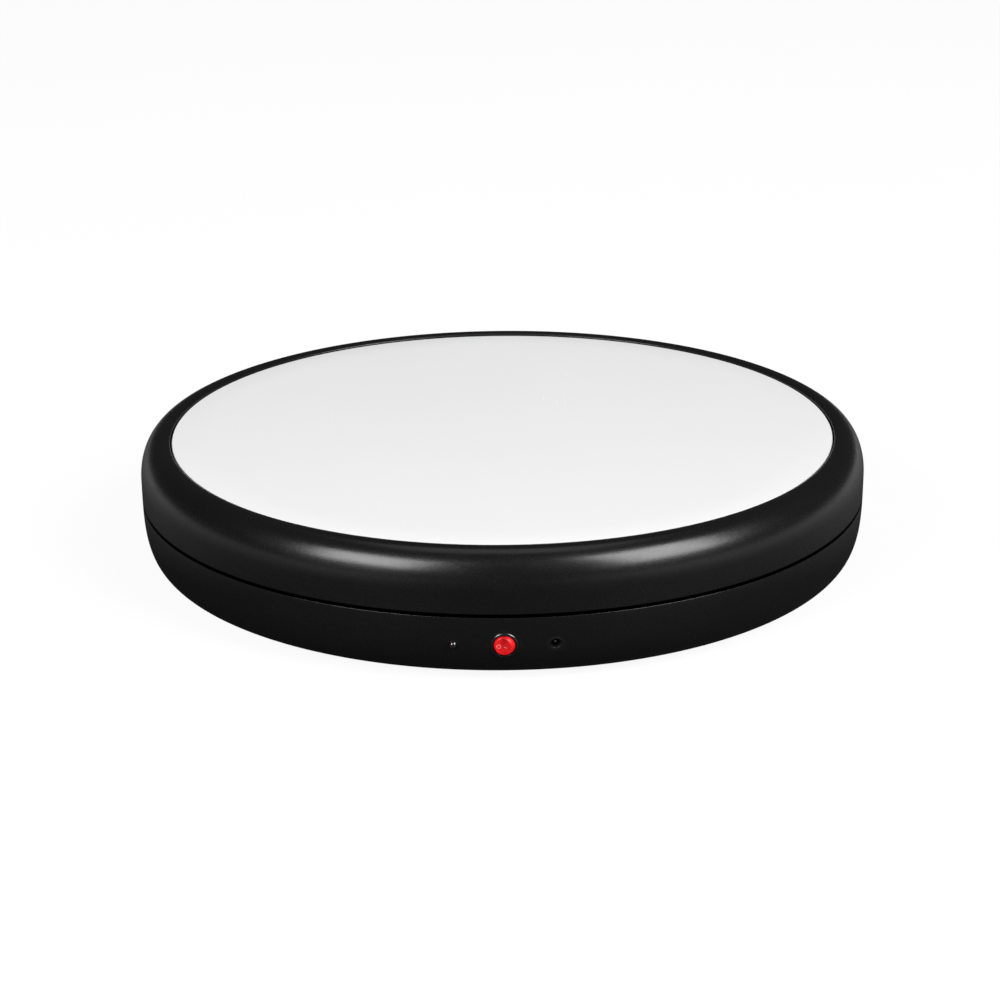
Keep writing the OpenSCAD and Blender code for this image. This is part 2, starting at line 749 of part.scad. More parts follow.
// ========================== controls =======================================
module switch_body() {
  color([0.05, 0.05, 0.055]) on_wall(switch_angle) difference() {
    union() {
      // the bezel's face leans back at about 45 degrees
      rotate_extrude() polygon([[0, -16], [switch_body_r, -16], [switch_body_r, bezel_seat_z],
        [bezel_r, bezel_seat_z], [bezel_r, 0], [bezel_r - 0.1, 0.12],
        [switch_bore_r + 0.55, bezel_h - 0.06], [switch_bore_r + 0.4, bezel_h],
        [switch_bore_r + 0.15, bezel_h], [switch_bore_r, bezel_h - 0.15], [0, bezel_h - 0.15]]);
      // snap-in barbs behind the wall
      for (side = [-1, 1])
        translate([side * (switch_body_r - 0.5) - 0.6, -2, -7]) cube([1.2, 4, 1.8]);
    }
    at_z(-10.5) cylinder(r = switch_bore_r, h = 20);
    rotate([90, 0, 0]) translate([0, pivot_z, -8.05]) cylinder(r = 0.84, h = 16.1);
    for (x = [-switch_blade_x, switch_blade_x])
      translate([x - 2.4, -0.45, -17]) cube([4.8, 0.9, 8]);
  }
}

// The rocker turns about an upright pin. Its face is a shallow V whose two
// halves lean back from the middle; at rest the half on the -X side is pressed.
module switch_rocker() {
  edge_z = rocker_face + 8 * tan(rocker_slope);
  color([0.75, 0.06, 0.05]) on_wall(switch_angle) at_z(pivot_z)
    rotate([0, -rocker_travel / 2, 0]) union() {
      intersection() {
        sphere(r = rocker_r, $fn = 96);
        rotate([90, 0, 0]) at_z(-8) linear_extrude(height = 16)
          polygon([[-8, -3.6], [8, -3.6], [8, edge_z], [0, rocker_face], [-8, edge_z]]);
      }
      rotate([90, 0, 0]) at_z(-7.95) cylinder(r = 0.79, h = 15.9);
      translate([-1.2, -3, -6]) cube([2.4, 6, 4]);
    }
}

module socket_body() {
  color([0.06, 0.06, 0.065]) on_wall(socket_angle) difference() {
    union() {
      at_z(-5.5) cylinder(r = 4.55, h = 5.4);
      translate([-4.8, -5.4, -14]) cube([9.6, 10.8, 8.9]);
    }
    at_z(-11.5) cylinder(r = 3.2, h = 20);
    at_z(-0.7) cylinder(r1 = 3.2, r2 = 3.9, h = 0.8);
    for (x = [-socket_blade_x, socket_blade_x])
      translate([x - 0.85, -0.45, -16]) cube([1.7, 0.9, 6]);
    at_z(-15) cylinder(r = 0.62, h = 10);
  }
}

// the pin is necked where it passes through the socket's floor
module socket_pin() {
  color("silver") on_wall(socket_angle) rotate_extrude()
    polygon([[0, -13.9], [0.6, -13.9], [0.6, -11.2], [1.05, -11.2], [1.05, -3.5],
      [0.7, -3], [0, -3]]);
}

module control_terminals() {
  color("gold") {
    on_wall(switch_angle) for (x = [-switch_blade_x, switch_blade_x]) difference() {
      translate([x - 2.35, -0.4, -23]) cube([4.7, 0.8, 11.4]);
      translate([x, 0, -20.5]) rotate([90, 0, 0]) cylinder(r = 0.9, h = 4, center = true);
    }
    on_wall(socket_angle) for (x = [-socket_blade_x, socket_blade_x])
      translate([x - 0.8, -0.4, -18]) cube([1.6, 0.8, 7.6]);
  }
}

module indicator_dome() {
  dome_r = 2.55;
  color([0.12, 0.02, 0.02]) on_wall(indicator_angle) union() {
    at_z(-1.6) cylinder(r = dome_r, h = 1.6);
    intersection() {
      at_z(0.1) sphere(r = dome_r, $fn = 64);
      at_z(-0.1) cylinder(r = 4, h = 4);
    }
    at_z(-7) cylinder(r = 2.48, h = 5.6);
    at_z(-7.2) cylinder(r = 2.9, h = 1);
    for (x = [-indicator_leg_x, indicator_leg_x])
      translate([x - 0.25, -0.25, -13.5]) cube([0.5, 0.5, 7]);
  }
}

module indicator_holder() {
  color([0.06, 0.06, 0.06]) on_wall(indicator_angle) difference() {
    at_z(-9.5) cylinder(r = 4.2, h = 4.3);
    at_z(-9.6) cylinder(r = 3, h = 3.45);
    at_z(-12) cylinder(r = 2.6, h = 12);
  }
}

// ---- cables: a round wire swept along a smooth curve through its points ----
wire_r = 0.9;
wire_sides = 8;
curve_steps = 3;              // steps between two neighbouring points
// Catmull-Rom curve from b to c, with a and d the points beyond them
function curve_point(a, b, c, d, t) = 0.5 * (2 * b + (c - a) * t
  + (2 * a - 5 * b + 4 * c - d) * t * t + (3 * b - a - 3 * c + d) * t * t * t);
function smooth(points) = let (last = len(points) - 1) concat(
  [for (i = [0:last - 1], j = [0:curve_steps - 1])
    curve_point(points[max(i - 1, 0)], points[i], points[i + 1], points[min(i + 2, last)],
      j / curve_steps)],
  [points[last]]);

module wire(points) {
  line = smooth(points);
  last = len(line) - 1;
  reference = [0.91, 0.33, 0.24]; // fixes how each ring of points is turned
  rings = [for (i = [0:last]) let (
    along = line[min(i + 1, last)] - line[max(i - 1, 0)],
    tangent = along / norm(along),
    across = cross(tangent, reference),
    side = across / norm(across),
    other = cross(tangent, side))
    each [for (j = [0:wire_sides - 1]) let (angle = 360 * j / wire_sides)
      line[i] + wire_r * (side * cos(angle) + other * sin(angle))]];
  polyhedron(points = rings, faces = concat(
    [[for (j = [0:wire_sides - 1]) j]],
    [for (i = [0:last - 1], j = [0:wire_sides - 1]) let (
      here = i * wire_sides + j,
      next = i * wire_sides + (j + 1) % wire_sides)
      each [[here, here + wire_sides, next + wire_sides], [here, next + wire_sides, next]]],
    [[for (j = [wire_sides - 1:-1:0]) last * wire_sides + j]]));
}
// the last two points of a wire, going down into its plug
function into_plug(x, y) = [[x, y, 31], [x, y, board_z + 4.6]];

// One row for each control: its angle; x and z of the wire's start and x and z
// of its first bend, in the control's frame; middle x and half the spacing of
// the pair at y = -205; x of the plug.
front_pairs = [
  [switch_angle, switch_blade_x, -24.1, switch_blade_x, -32, 0, 2.2, 0],
  [socket_angle, socket_blade_x, -19.2, socket_blade_x, -27, 28, 2, front_plug_x],
  [indicator_angle, indicator_leg_x, -14.8, 2, -24, -28, 2, -front_plug_x]];
module front_cables() {
  for (row = front_pairs, side = [-1, 1]) {
    plug_x = row[7] + side * plug_wire_x;
    color(side < 0 ? wire_red : wire_black) wire(concat(
      [wall_point(row[0], side * row[1], 0, row[2]),
       wall_point(row[0], side * row[3], 2, row[4]),
       [row[5] + side * row[6], -205, 33], [plug_x, -175, 33]],
      into_plug(plug_x, front_plug_y)));
  }
}

module motor_cable() {
  x = motor_at[0];
  y = motor_at[1];
  run_z = 19.5; // level of the long run past the spindle
  red_start = [[x - 10.4, y, 9.7], [x - 19.2, y - 1, 10.5], [x - 19.6, y - 4, run_z],
    [-30, 100, run_z], [-34, 60, run_z], [-36, 0, run_z], [-34, -60, run_z]];
  black_start = [[x + 10.8, y, 9.7], [x + 8.4, y - 14, 9.7], [x + 4, y - 19.3, 10.5],
    [x + 2, y - 19.8, run_z], [-26, 84, run_z], [-31.2, 58, run_z], [-33.4, 0, run_z],
    [-31.4, -60, run_z]];
  red_x = motor_plug[0] - plug_wire_x;
  black_x = motor_plug[0] + plug_wire_x;
  color(wire_red) wire(concat(red_start, [[red_x - 0.8, -108, 27], [red_x, -119, 32]],
    into_plug(red_x, motor_plug[1])));
  color(wire_black) wire(concat(black_start, [[black_x - 0.8, -108, 27], [black_x, -119, 32]],
    into_plug(black_x, motor_plug[1])));
}

// ========================== turning group ==================================
module rim_section() {
  outer = concat([for (i = [0:20]) upper_point(90 - 90 * i / 20)],
    [for (i = [1:5]) lower_point(rim_end_angle * i / 5)]);
  end = outer[len(outer) - 1];
  inner = [for (p = inset(outer, wall_t)) if (p[1] < deck_low - 0.5 && p[0] > body_r - 9) p];
  polygon(concat(
    [[22, deck_low], [22, deck_top], [lip_r, deck_top], [lip_r, crest_z - 1.5],
     [lip_r + 0.35, crest_z - 0.7], [lip_r + 1.2, crest_z - 0.25], [lip_r + 2.6, crest_z - 0.05]],
    outer,
    [[end[0] - wall_t, end[1]]],
    reversed([for (p = inner) if (p[1] > end[1] + 0.3) p]),
    [[inner[0][0] - 3, deck_low]]));
}

// walls and screw bosses that carry the roller track
module track_supports() {
  height = deck_low - track_z - track_t + overlap;
  at_z(track_z + track_t) {
    tube(178.6, 176.2, height);
    tube(201.6, 199.2, height);
    around(6, track_screw_r, 30) cylinder(r = 4.2, h = height);
  }
}

module deck_ribs() {
  intersection() {
    // inner and outer ribs: [start radius, length]
    at_z(deck_low - rib_h) for (rib = [[103, 74], [200, 46]])
      around(12, first = 15)
        translate([rib[0], -rib_t / 2, 0]) cube([rib[1], rib_t, rib_h + overlap]);
    rotate_extrude() polygon([[100, 0], [246, 0], [246, 74], [240, 90], [100, 90]]);
  }
}

module rim_shell() {
  color(shell_black) difference() {
    union() {
      rotate_extrude($fn = shell_fn) rim_section();
      track_supports();
      deck_ribs();
    }
    around(6, track_screw_r, 30) at_z(50) cylinder(r = 1.3, h = 26);
    around(6, ring_screw_r, 30) at_z(deck_low - 1) cylinder(r = 1.68, h = 3.4);
    around(6, hub_screw_r) {
      cylinder(r = 2.1, h = 100);
      at_z(deck_top - 2.2) cylinder(r1 = 2.1, r2 = 4.3, h = 2.2 + overlap);
    }
  }
}

module panel_tape() {
  color([0.85, 0.85, 0.8]) at_z(deck_top) tube(lip_r - 6, 62, tape_top - deck_top);
}

module top_panel() {
  edge_centre = [panel_r - panel_edge_r, panel_top - panel_edge_r];
  color([0.95, 0.95, 0.94]) rotate_extrude($fn = shell_fn) polygon(concat(
    [[0, tape_top], [panel_r - 0.3, tape_top], [panel_r, tape_top + 0.3]],
    [for (i = [0:4]) edge_centre + panel_edge_r * [cos(90 * i / 4), sin(90 * i / 4)]],
    [[0, panel_top]]));
}

module hub() {
  bore_r = 21;
  land_r = 18.5; // between the two outer races
  color("silver") difference() {
    rotate_extrude() polygon([[land_r, spacer_z], [bore_r, spacer_z],
      [bore_r, lower_bearing_z], [bore_r, 36.6], [21.6, 36], [26.4, 36], [27, 36.6],
      [27, 70], [30, deck_low - 5], [44.4, deck_low - 5], [45, deck_low - 4.4],
      [45, deck_low], [bore_r, deck_low], [bore_r, upper_bearing_z],
      [land_r, upper_bearing_z]]);
    around(6, hub_screw_r) cylinder(r = 2, h = 100);
  }
}

module hub_screws() {
  color("silver") around(6, hub_screw_r) difference() {
    union() {
      at_z(deck_top - 2.2) cylinder(r1 = 1.98, r2 = 4.1, h = 2.1);
      at_z(73.5) cylinder(r = 1.98, h = 8.6);
    }
    cross_slot(4, 0.8, deck_top - 1.2, 2);
  }
}

module roller_track() {
  color("silver") at_z(track_z) difference() {
    tube(202, 176, track_t);
    around(6, track_screw_r, 30) at_z(-1) cylinder(r = 1.7, h = 4);
  }
}

module track_screws() {
  color("silver") around(6, track_screw_r, 30) difference() {
    union() {
      at_z(track_z - 1.7) cylinder(r = 2.8, h = 1.7);
      at_z(track_z - 0.1) cylinder(r = 1.28, h = 12);
    }
    cross_slot(3.2, 0.6, track_z - 2.5, 1.7);
  }
}

base_shell();
rubber_feet();
foot_screws();
spindle();
spindle_screws();
bearing_inner_races();
bearing_spacer();
spindle_washer();
spindle_nut();
roller_brackets();
bracket_screws();
roller_axles();
motor_plate();
plate_grommets();
plate_screws();
gearbox_case();
gearbox_cover();
gearbox_screws();
gear_pins();
motor_can();
motor_end_cap();
motor_terminals();
control_board();
board_chip();
board_capacitor();
board_connectors();
board_screws();
switch_body();
socket_body();
socket_pin();
control_terminals();
indicator_dome();
indicator_holder();
front_cables();
motor_cable();
rim_shell();
panel_tape();
top_panel();
hub();
hub_screws();
bearing_outer_races();
ring_gear();
ring_gear_screws();
roller_track();
track_screws();
bearing_cages();
bearing_balls();
support_roller_1();
support_roller_2();
support_roller_3();
support_roller_4();
support_roller_5();
support_roller_6();
drive_pinion();
output_gear();
idler_gear_2();
idler_gear_1();
motor_rotor();
switch_rocker();
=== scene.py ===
"""A motorised turntable: a fixed base shell on six feet, a turning rim shell and a pale top panel.

The axis is Z through the origin and the floor is z = 0. The front is -Y, where the wall carries
a rocker switch in the middle, a socket on its right (+X) and an indicator on its left (-X).
Shapes are worked out in millimetres and stored in metres. Materials work in metres.
"""
import math

import bpy
import bmesh
from mathutils import Matrix, Vector


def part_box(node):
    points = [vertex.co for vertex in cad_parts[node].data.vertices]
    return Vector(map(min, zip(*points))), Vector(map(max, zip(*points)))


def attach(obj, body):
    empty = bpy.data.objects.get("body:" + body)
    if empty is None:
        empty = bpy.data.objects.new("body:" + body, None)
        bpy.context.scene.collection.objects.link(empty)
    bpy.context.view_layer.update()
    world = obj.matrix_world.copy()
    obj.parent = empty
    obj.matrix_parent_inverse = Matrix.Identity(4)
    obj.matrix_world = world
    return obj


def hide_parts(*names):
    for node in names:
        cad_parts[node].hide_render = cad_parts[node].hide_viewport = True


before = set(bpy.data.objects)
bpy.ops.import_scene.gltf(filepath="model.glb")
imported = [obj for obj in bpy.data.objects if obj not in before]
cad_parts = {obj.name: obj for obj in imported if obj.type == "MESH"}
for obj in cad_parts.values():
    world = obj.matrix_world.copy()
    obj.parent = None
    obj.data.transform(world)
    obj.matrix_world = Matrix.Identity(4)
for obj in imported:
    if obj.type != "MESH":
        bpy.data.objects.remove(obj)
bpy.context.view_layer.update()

MM = 0.001
scene = bpy.context.scene

# --------------------------------------------------------------------------
# driving sizes, mm
# --------------------------------------------------------------------------
rim_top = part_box("rim_shell")[1]
panel_lo, panel_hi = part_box("top_panel")
RIM_R = rim_top.x / MM
CREST_Z = rim_top.z / MM
FOOT_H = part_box("base_shell")[0].z / MM         # underside of the base
SHELL_H = CREST_Z - FOOT_H
WIDE_H = 0.69733 * SHELL_H                      # widest place, above the underside
CREST_R = 0.9361 * RIM_R
UNDER_R = 0.8939 * RIM_R                        # where the wall meets the flat underside
LOWER_POWER = 3.677
# the two curves of the wall: end radius, rise from the widest place, superellipse power
UPPER = (CREST_R, SHELL_H - WIDE_H, 2.113)
LOWER = (UNDER_R, -WIDE_H, LOWER_POWER)
SEAM_Z = FOOT_H + 0.5187 * SHELL_H              # middle of the gap between base and rim
SEAM_GAP = 2.4
WALL = 3.0
FLOOR_TOP = FOOT_H + 3.0                        # upper face of the base's floor
DECK_TOP, DECK_LOW = 83.4, 80.4                 # the rim's flat deck, under the panel
LIP_R = CREST_R - 5.0                           # recess the panel lies in
PANEL_R = panel_hi.x / MM
PANEL_TOP = panel_hi.z / MM
PANEL_LOW = panel_lo.z / MM
CONTROL_Z = 28.6
CONTROL_STEP = math.radians(7.25)               # between neighbouring front controls
FOOT_PITCH_R = 215
SHELL_ANGLE = 30                                # degrees: sharper edges of shells shade sharp


# --------------------------------------------------------------------------
# lines: lists of (radius, z) points
# --------------------------------------------------------------------------
def wall_point(t, end_radius, rise, power):
    """A point on the wall: t = 0 at the widest place, pi/2 at the curve's other end."""
    return (end_radius + (RIM_R - end_radius) * max(0.0, math.cos(t)) ** (2 / power),
            FOOT_H + WIDE_H + rise * max(0.0, math.sin(t)) ** (2 / power))


def lower_angle(height):
    """The t of the lower curve at a height above the underside."""
    return math.asin(((WIDE_H - height) / WIDE_H) ** (LOWER_POWER / 2))


def lower_radius(height):
    drop = (WIDE_H - height) / WIDE_H
    return UNDER_R + (RIM_R - UNDER_R) * (1 - drop ** LOWER_POWER) ** (1 / LOWER_POWER)


def inset(points, distance):
    """The same line moved to its inner side."""
    out = []
    for i, (x, z) in enumerate(points):
        before, after = points[max(i - 1, 0)], points[min(i + 1, len(points) - 1)]
        dx, dz = after[0] - before[0], after[1] - before[1]
        length = math.hypot(dx, dz) or 1.0
        out.append((x + distance * dz / length, z - distance * dx / length))
    return out


def resample(start, end, spacing):
    """Points from start to end, no further apart than spacing."""
    n = max(1, int(math.ceil(math.dist(start, end) / spacing)))
    return [start] + [(start[0] + (end[0] - start[0]) * i / n,
                       start[1] + (end[1] - start[1]) * i / n) for i in range(1, n + 1)]


def bend(start, corner, end, t):
    """A point on the quadratic curve that rounds a corner."""
    point = start * (1 - t) ** 2 + corner * 2 * t * (1 - t) + end * t ** 2
    return point.x, point.y


def fillet(points, radii, steps):
    """A line with inner corners rounded. radii maps a point's number to a radius."""
    out = []
    for i, point in enumerate(points):
        if i not in radii:
            out.append(point)
            continue
        corner = Vector(point)
        back = Vector(points[i - 1]) - corner
        ahead = Vector(points[i + 1]) - corner
        reach = min(radii[i], back.length * 0.48, ahead.length * 0.48)
        start = corner + back.normalized() * reach
        end = corner + ahead.normalized() * reach
        out += [bend(start, corner, end, k / steps) for k in range(steps + 1)]
    return out


def quarter(steps, first=0):
    """Angles of a quarter turn cut into steps."""
    return [math.pi / 2 * i / steps for i in range(first, steps + 1)]


# --------------------------------------------------------------------------
# meshes
# --------------------------------------------------------------------------
def shade(ob, angle):
    mesh = ob.data
    mesh.polygons.foreach_set("use_smooth", [True] * len(mesh.polygons))
    mesh.set_sharp_from_angle(angle=math.radians(angle))
    mesh.update()


def make_object(name, verts, faces, angle=None):
    """An object from points in metres, smooth up to angle degrees, or flat without one."""
    mesh = bpy.data.meshes.new(name)
    mesh.from_pydata([tuple(v) for v in verts], [], faces)
    mesh.validate()
    bm = bmesh.new()
    bm.from_mesh(mesh)
    bmesh.ops.remove_doubles(bm, verts=bm.verts, dist=1e-7)
    bmesh.ops.recalc_face_normals(bm, faces=bm.faces)
    bm.to_mesh(mesh)
    bm.free()
    ob = bpy.data.objects.new(name, mesh)
    scene.collection.objects.link(ob)
    if angle:
        shade(ob, angle)
    return ob


def lathe_data(profile, segments, closed):
    """Points and faces of a turned solid. closed joins the profile's last point to its first."""
    verts, rings = [], []
    for radius, z in profile:
        if radius < 1e-6:
            rings.append([len(verts)])
            verts.append((0.0, 0.0, z))
            continue
        rings.append(list(range(len(verts), len(verts) + segments)))
        for k in range(segments):
            angle = 2 * math.pi * k / segments
            verts.append((radius * math.cos(angle), radius * math.sin(angle), z))
    faces = []
    for a, b in list(zip(rings, rings[1:])) + ([(rings[-1], rings[0])] if closed else []):
        if len(a) == 1 and len(b) == 1:
            continue
        for k in range(segments):
            n = (k + 1) % segments
            if len(a) == 1:
                faces.append((a[0], b[n], b[k]))
            elif len(b) == 1:
                faces.append((a[k], a[n], b[0]))
            else:
                faces.append((a[k], a[n], b[n], b[k]))
    return verts, faces


def box_data(x, y, z, chamfer):
    """Points and faces of a chamfered block. x, y and z are (low, high)."""
    bm = bmesh.new()
    bmesh.ops.create_cube(bm, size=1.0)
    for v in bm.verts:
        v.co = Vector([(lo + hi) / 2 + unit * (hi - lo) for unit, (lo, hi) in zip(v.co, (x, y, z))])
    bmesh.ops.bevel(bm, geom=list(bm.edges), offset=chamfer, segments=2, profile=0.5,
                    affect="EDGES")
    bm.verts.ensure_lookup_table()
    verts = [tuple(v.co) for v in bm.verts]
    faces = [tuple(v.index for v in face.verts) for face in bm.faces]
    bm.free()
    return verts, faces


class Build:
    """Gathers shells, in millimetres, into one mesh."""

    def __init__(self):
        self.verts, self.faces = [], []

    def add(self, data, matrix=Matrix.Identity(4)):
        verts, faces = data
        start = len(self.verts)
        self.verts += [matrix @ Vector(v) for v in verts]
        self.faces += [tuple(i + start for i in face) for face in faces]
        return self

    def lathe(self, profile, segments, closed=False, matrix=Matrix.Identity(4)):
        return self.add(lathe_data(profile, segments, closed), matrix)

    def box(self, x, y, z, chamfer=0.3, matrix=Matrix.Identity(4)):
        return self.add(box_data(x, y, z, chamfer), matrix)

    def done(self, name, matrix=Matrix.Identity(4), angle=35.0):
        to_metres = Matrix.Scale(MM, 4) @ matrix
        return make_object(name, [to_metres @ Vector(v) for v in self.verts], self.faces, angle)


def turn(degrees):
    return Matrix.Rotation(math.radians(degrees), 4, "Z")


def move(x, y, z):
    return Matrix.Translation((x, y, z))


def cutter(profile, segments, matrix):
    return Build().lathe(profile, segments, matrix=matrix).done("cutter")


def cut(ob, cutters):
    """Takes the cutters out of a shell, removes them and shades the shell again."""
    for tool in cutters:
        modifier = ob.modifiers.new("cut", "BOOLEAN")
        modifier.operation, modifier.solver, modifier.object = "DIFFERENCE", "EXACT", tool
    bpy.context.view_layer.update()
    depsgraph = bpy.context.evaluated_depsgraph_get()
    new = bpy.data.meshes.new_from_object(ob.evaluated_get(depsgraph))
    old = ob.data
    ob.modifiers.clear()
    ob.data = new
    new.name = ob.name
    bpy.data.meshes.remove(old)
    for tool in cutters:
        mesh = tool.data
        bpy.data.objects.remove(tool)
        bpy.data.meshes.remove(mesh)
    bm = bmesh.new()
    bm.from_mesh(new)
    bmesh.ops.dissolve_degenerate(bm, edges=bm.edges, dist=1e-7)
    bm.to_mesh(new)
    bm.free()
    shade(ob, SHELL_ANGLE)


# --------------------------------------------------------------------------
# material helpers: every finish is made of nodes, in object space
# --------------------------------------------------------------------------
class Nodes:
    """An emptied node tree, and a short way to add to it."""

    def __init__(self, tree):
        tree.nodes.clear()
        self.tree = tree

    def feed(self, socket, value):
        """Links a socket, or sets its value."""
        if isinstance(value, bpy.types.NodeSocket):
            self.tree.links.new(value, socket)
        else:
            socket.default_value = (*value, 1.0) if socket.type == "RGBA" else value

    def node(self, kind, *values, **named):
        """Adds a node. values fill its inputs in order; in named ones _ stands for a space."""
        node = self.tree.nodes.new("ShaderNode" + kind)
        for socket, value in zip(node.inputs, values):
            self.feed(socket, value)
        for name, value in named.items():
            self.feed(node.inputs[name.replace("_", " ")], value)
        return node


class Mat(Nodes):
    """A material around one Principled shader."""

    def __init__(self, name):
        self.material = bpy.data.materials.new(name)
        self.material.use_nodes = True
        super().__init__(self.material.node_tree)
        self.output = self.node("OutputMaterial")
        self.shader = self.node("BsdfPrincipled")
        self.feed(self.output.inputs[0], self.shader.outputs[0])
        self.coords = self.node("TexCoord").outputs["Object"]
        self.relief = None

    def set(self, **inputs):
        for name, value in inputs.items():
            self.feed(self.shader.inputs[name.replace("_", " ")], value)

    def shifted(self, offset, stretch=(1, 1, 1)):
        if not any(offset):
            return self.coords
        return self.node("Mapping", Vector=self.coords, Location=offset, Scale=stretch).outputs[0]

    def noise(self, scale, detail=2.0, rough=0.5, seed=0.0, stretch=(1, 1, 1)):
        return self.node("TexNoise", Scale=scale, Detail=detail, Roughness=rough,
                         Vector=self.shifted((seed, seed * 0.7, seed * 1.3), stretch)
                         ).outputs["Fac"]

    def voronoi(self, scale, feature="F1", seed=0.0):
        node = self.node("TexVoronoi", Scale=scale, Vector=self.shifted((seed, seed, seed)))
        node.feature = feature
        return node.outputs["Distance"]

    def span(self, value, over=(0.3, 0.7), to=(0.0, 1.0)):
        """Maps the range over onto the range to, held at both ends."""
        return self.node("MapRange", Value=value, From_Min=over[0], From_Max=over[1],
                         To_Min=to[0], To_Max=to[1]).outputs["Result"]

    def mottle(self, dark, light, at=(0.3, 0.7), **noise):
        """Noise as a ramp between two colours."""
        ramp = self.node("ValToRGB", Fac=self.noise(**noise))
        for element, position, color in zip(ramp.color_ramp.elements, at, (dark, light)):
            element.position = position
            element.color = (*color, 1.0)
        return ramp.outputs["Color"]

    def mix(self, factor, a, b):
        node = self.node("Mix", Factor=factor)
        node.data_type = "RGBA"
        # inputs 6 and 7 are the colour pair
        self.feed(node.inputs[6], a)
        self.feed(node.inputs[7], b)
        return node.outputs[2]

    def math(self, operation, *values):
        node = self.node("Math", *values)
        node.operation = operation
        return node.outputs[0]

    def times(self, a, b):
        return self.math("MULTIPLY", a, b)

    def band(self, value, rise, fall):
        """1 between the ranges rise and fall, 0 outside them."""
        return self.times(self.span(value, over=rise), self.span(value, over=fall, to=(1.0, 0.0)))

    def flecks(self, base, color, amount, cells, size, patches, within):
        """Small specks at cell centres, only where the patches noise is high."""
        specks = self.span(cells, over=size, to=(1.0, 0.0))
        some = self.span(patches, over=within)
        return self.mix(self.times(self.times(specks, some), amount), base, color)

    def worn_edges(self, base, color, amount, full):
        """Another colour on convex edges, complete at pointiness full."""
        edges = self.span(self.node("NewGeometry").outputs["Pointiness"], over=(0.505, full))
        return self.mix(self.times(edges, amount), base, color)

    def split(self, vector):
        return self.node("SeparateXYZ", vector).outputs

    def rough_noise(self, to, over=(0.3, 0.7), **noise):
        self.set(Roughness=self.span(self.noise(**noise), over=over, to=to))

    def bump(self, height, strength, depth):
        """Adds relief, depth mm deep, on top of what is there."""
        node = self.node("Bump", Strength=strength, Distance=depth * MM, Height=height)
        if self.relief is not None:
            self.feed(node.inputs["Normal"], self.relief)
        self.relief = node.outputs["Normal"]
        self.set(Normal=self.relief)

    def bump_noise(self, strength, depth, **noise):
        self.bump(self.noise(**noise), strength, depth)


def scaled(color, factor):
    return tuple(min(1.0, x * factor) for x in color)


# --------------------------------------------------------------------------
# families of finishes
# --------------------------------------------------------------------------
def plastic(name, color, rough, grain, depth, wear=0.0, spread=0.25, coat=0.0, coat_rough=0.12,
            specular=0.5):
    """Moulded plastic: grain (its noise scale, and depth in mm), flow marks, scuffs."""
    mat = Mat(name)
    surface = mat.mottle(scaled(color, 1 - spread), scaled(color, 1 + spread), at=(0.25, 0.75),
                         scale=9.0, detail=4.0)
    if wear:
        surface = mat.worn_edges(surface, scaled(color, 3.0), amount=wear, full=0.56)
    mat.set(Base_Color=surface, Specular_IOR_Level=specular, Coat_Weight=coat,
            Coat_Roughness=coat_rough)
    mat.rough_noise(to=(rough - 0.07, rough + 0.08), scale=46.0, detail=6.0, rough=0.7,
                    stretch=(1, 1, 3.5), seed=3.1)
    mat.bump_noise(strength=0.35, depth=depth, scale=grain, rough=0.6, seed=0.3)
    mat.bump(mat.voronoi(scale=grain * 0.62, feature="SMOOTH_F1", seed=2.2),
             strength=0.25, depth=depth * 0.7)
    mat.bump_noise(strength=0.05, depth=0.25, scale=14.0, detail=1.0, rough=0.4, seed=5.5)
    return mat.material


def metal(name, color, rough, stretch=(1, 1, 30), wear=0.3, tarnish=(0.32, 0.3, 0.27)):
    """Metal with drawn or turned lines, light tarnish, small pits."""
    mat = Mat(name)
    surface = mat.mottle(scaled(color, 0.86), scaled(color, 1.08),
                         scale=38.0, detail=5.0, rough=0.6, seed=1.0)
    spots = mat.span(mat.noise(scale=240.0, detail=3.0, rough=0.6, seed=4.0), over=(0.62, 0.75))
    lines = mat.noise(scale=160.0, detail=5.0, rough=0.65, stretch=stretch, seed=2.0)
    mat.set(Metallic=1.0, Base_Color=mat.mix(mat.times(spots, wear), surface, tarnish),
            Roughness=mat.span(lines, to=(rough - 0.1, rough + 0.12)))
    mat.bump(lines, strength=0.22, depth=0.02)
    pits = mat.span(mat.voronoi(scale=900.0, seed=3.0), over=(0.0, 0.25))
    mat.bump(pits, strength=0.08, depth=0.02)
    return mat.material


def nylon(name, color, rough):
    """Pale moulded nylon or acetal: slightly translucent, with flow marks and smears."""
    mat = Mat(name)
    surface = mat.mottle(scaled(color, 0.88), scaled(color, 1.04), at=(0.25, 0.75),
                         scale=30.0, detail=4.0)
    smear = mat.span(mat.noise(scale=55.0, detail=4.0, rough=0.6, seed=9.0),
                     over=(0.58, 0.75), to=(0.0, 0.4))
    mat.set(Base_Color=mat.mix(smear, surface, scaled(color, 0.7)),
            Subsurface_Weight=0.25, Subsurface_Scale=0.002)
    mat.rough_noise(to=(rough - 0.15, rough + 0.12), scale=90.0, detail=4.0, rough=0.6, seed=4.0)
    mat.bump_noise(strength=0.2, depth=0.02, scale=900.0, seed=1.0)
    mat.bump_noise(strength=0.1, depth=0.2, scale=35.0, detail=1.0, seed=2.0)
    return mat.material


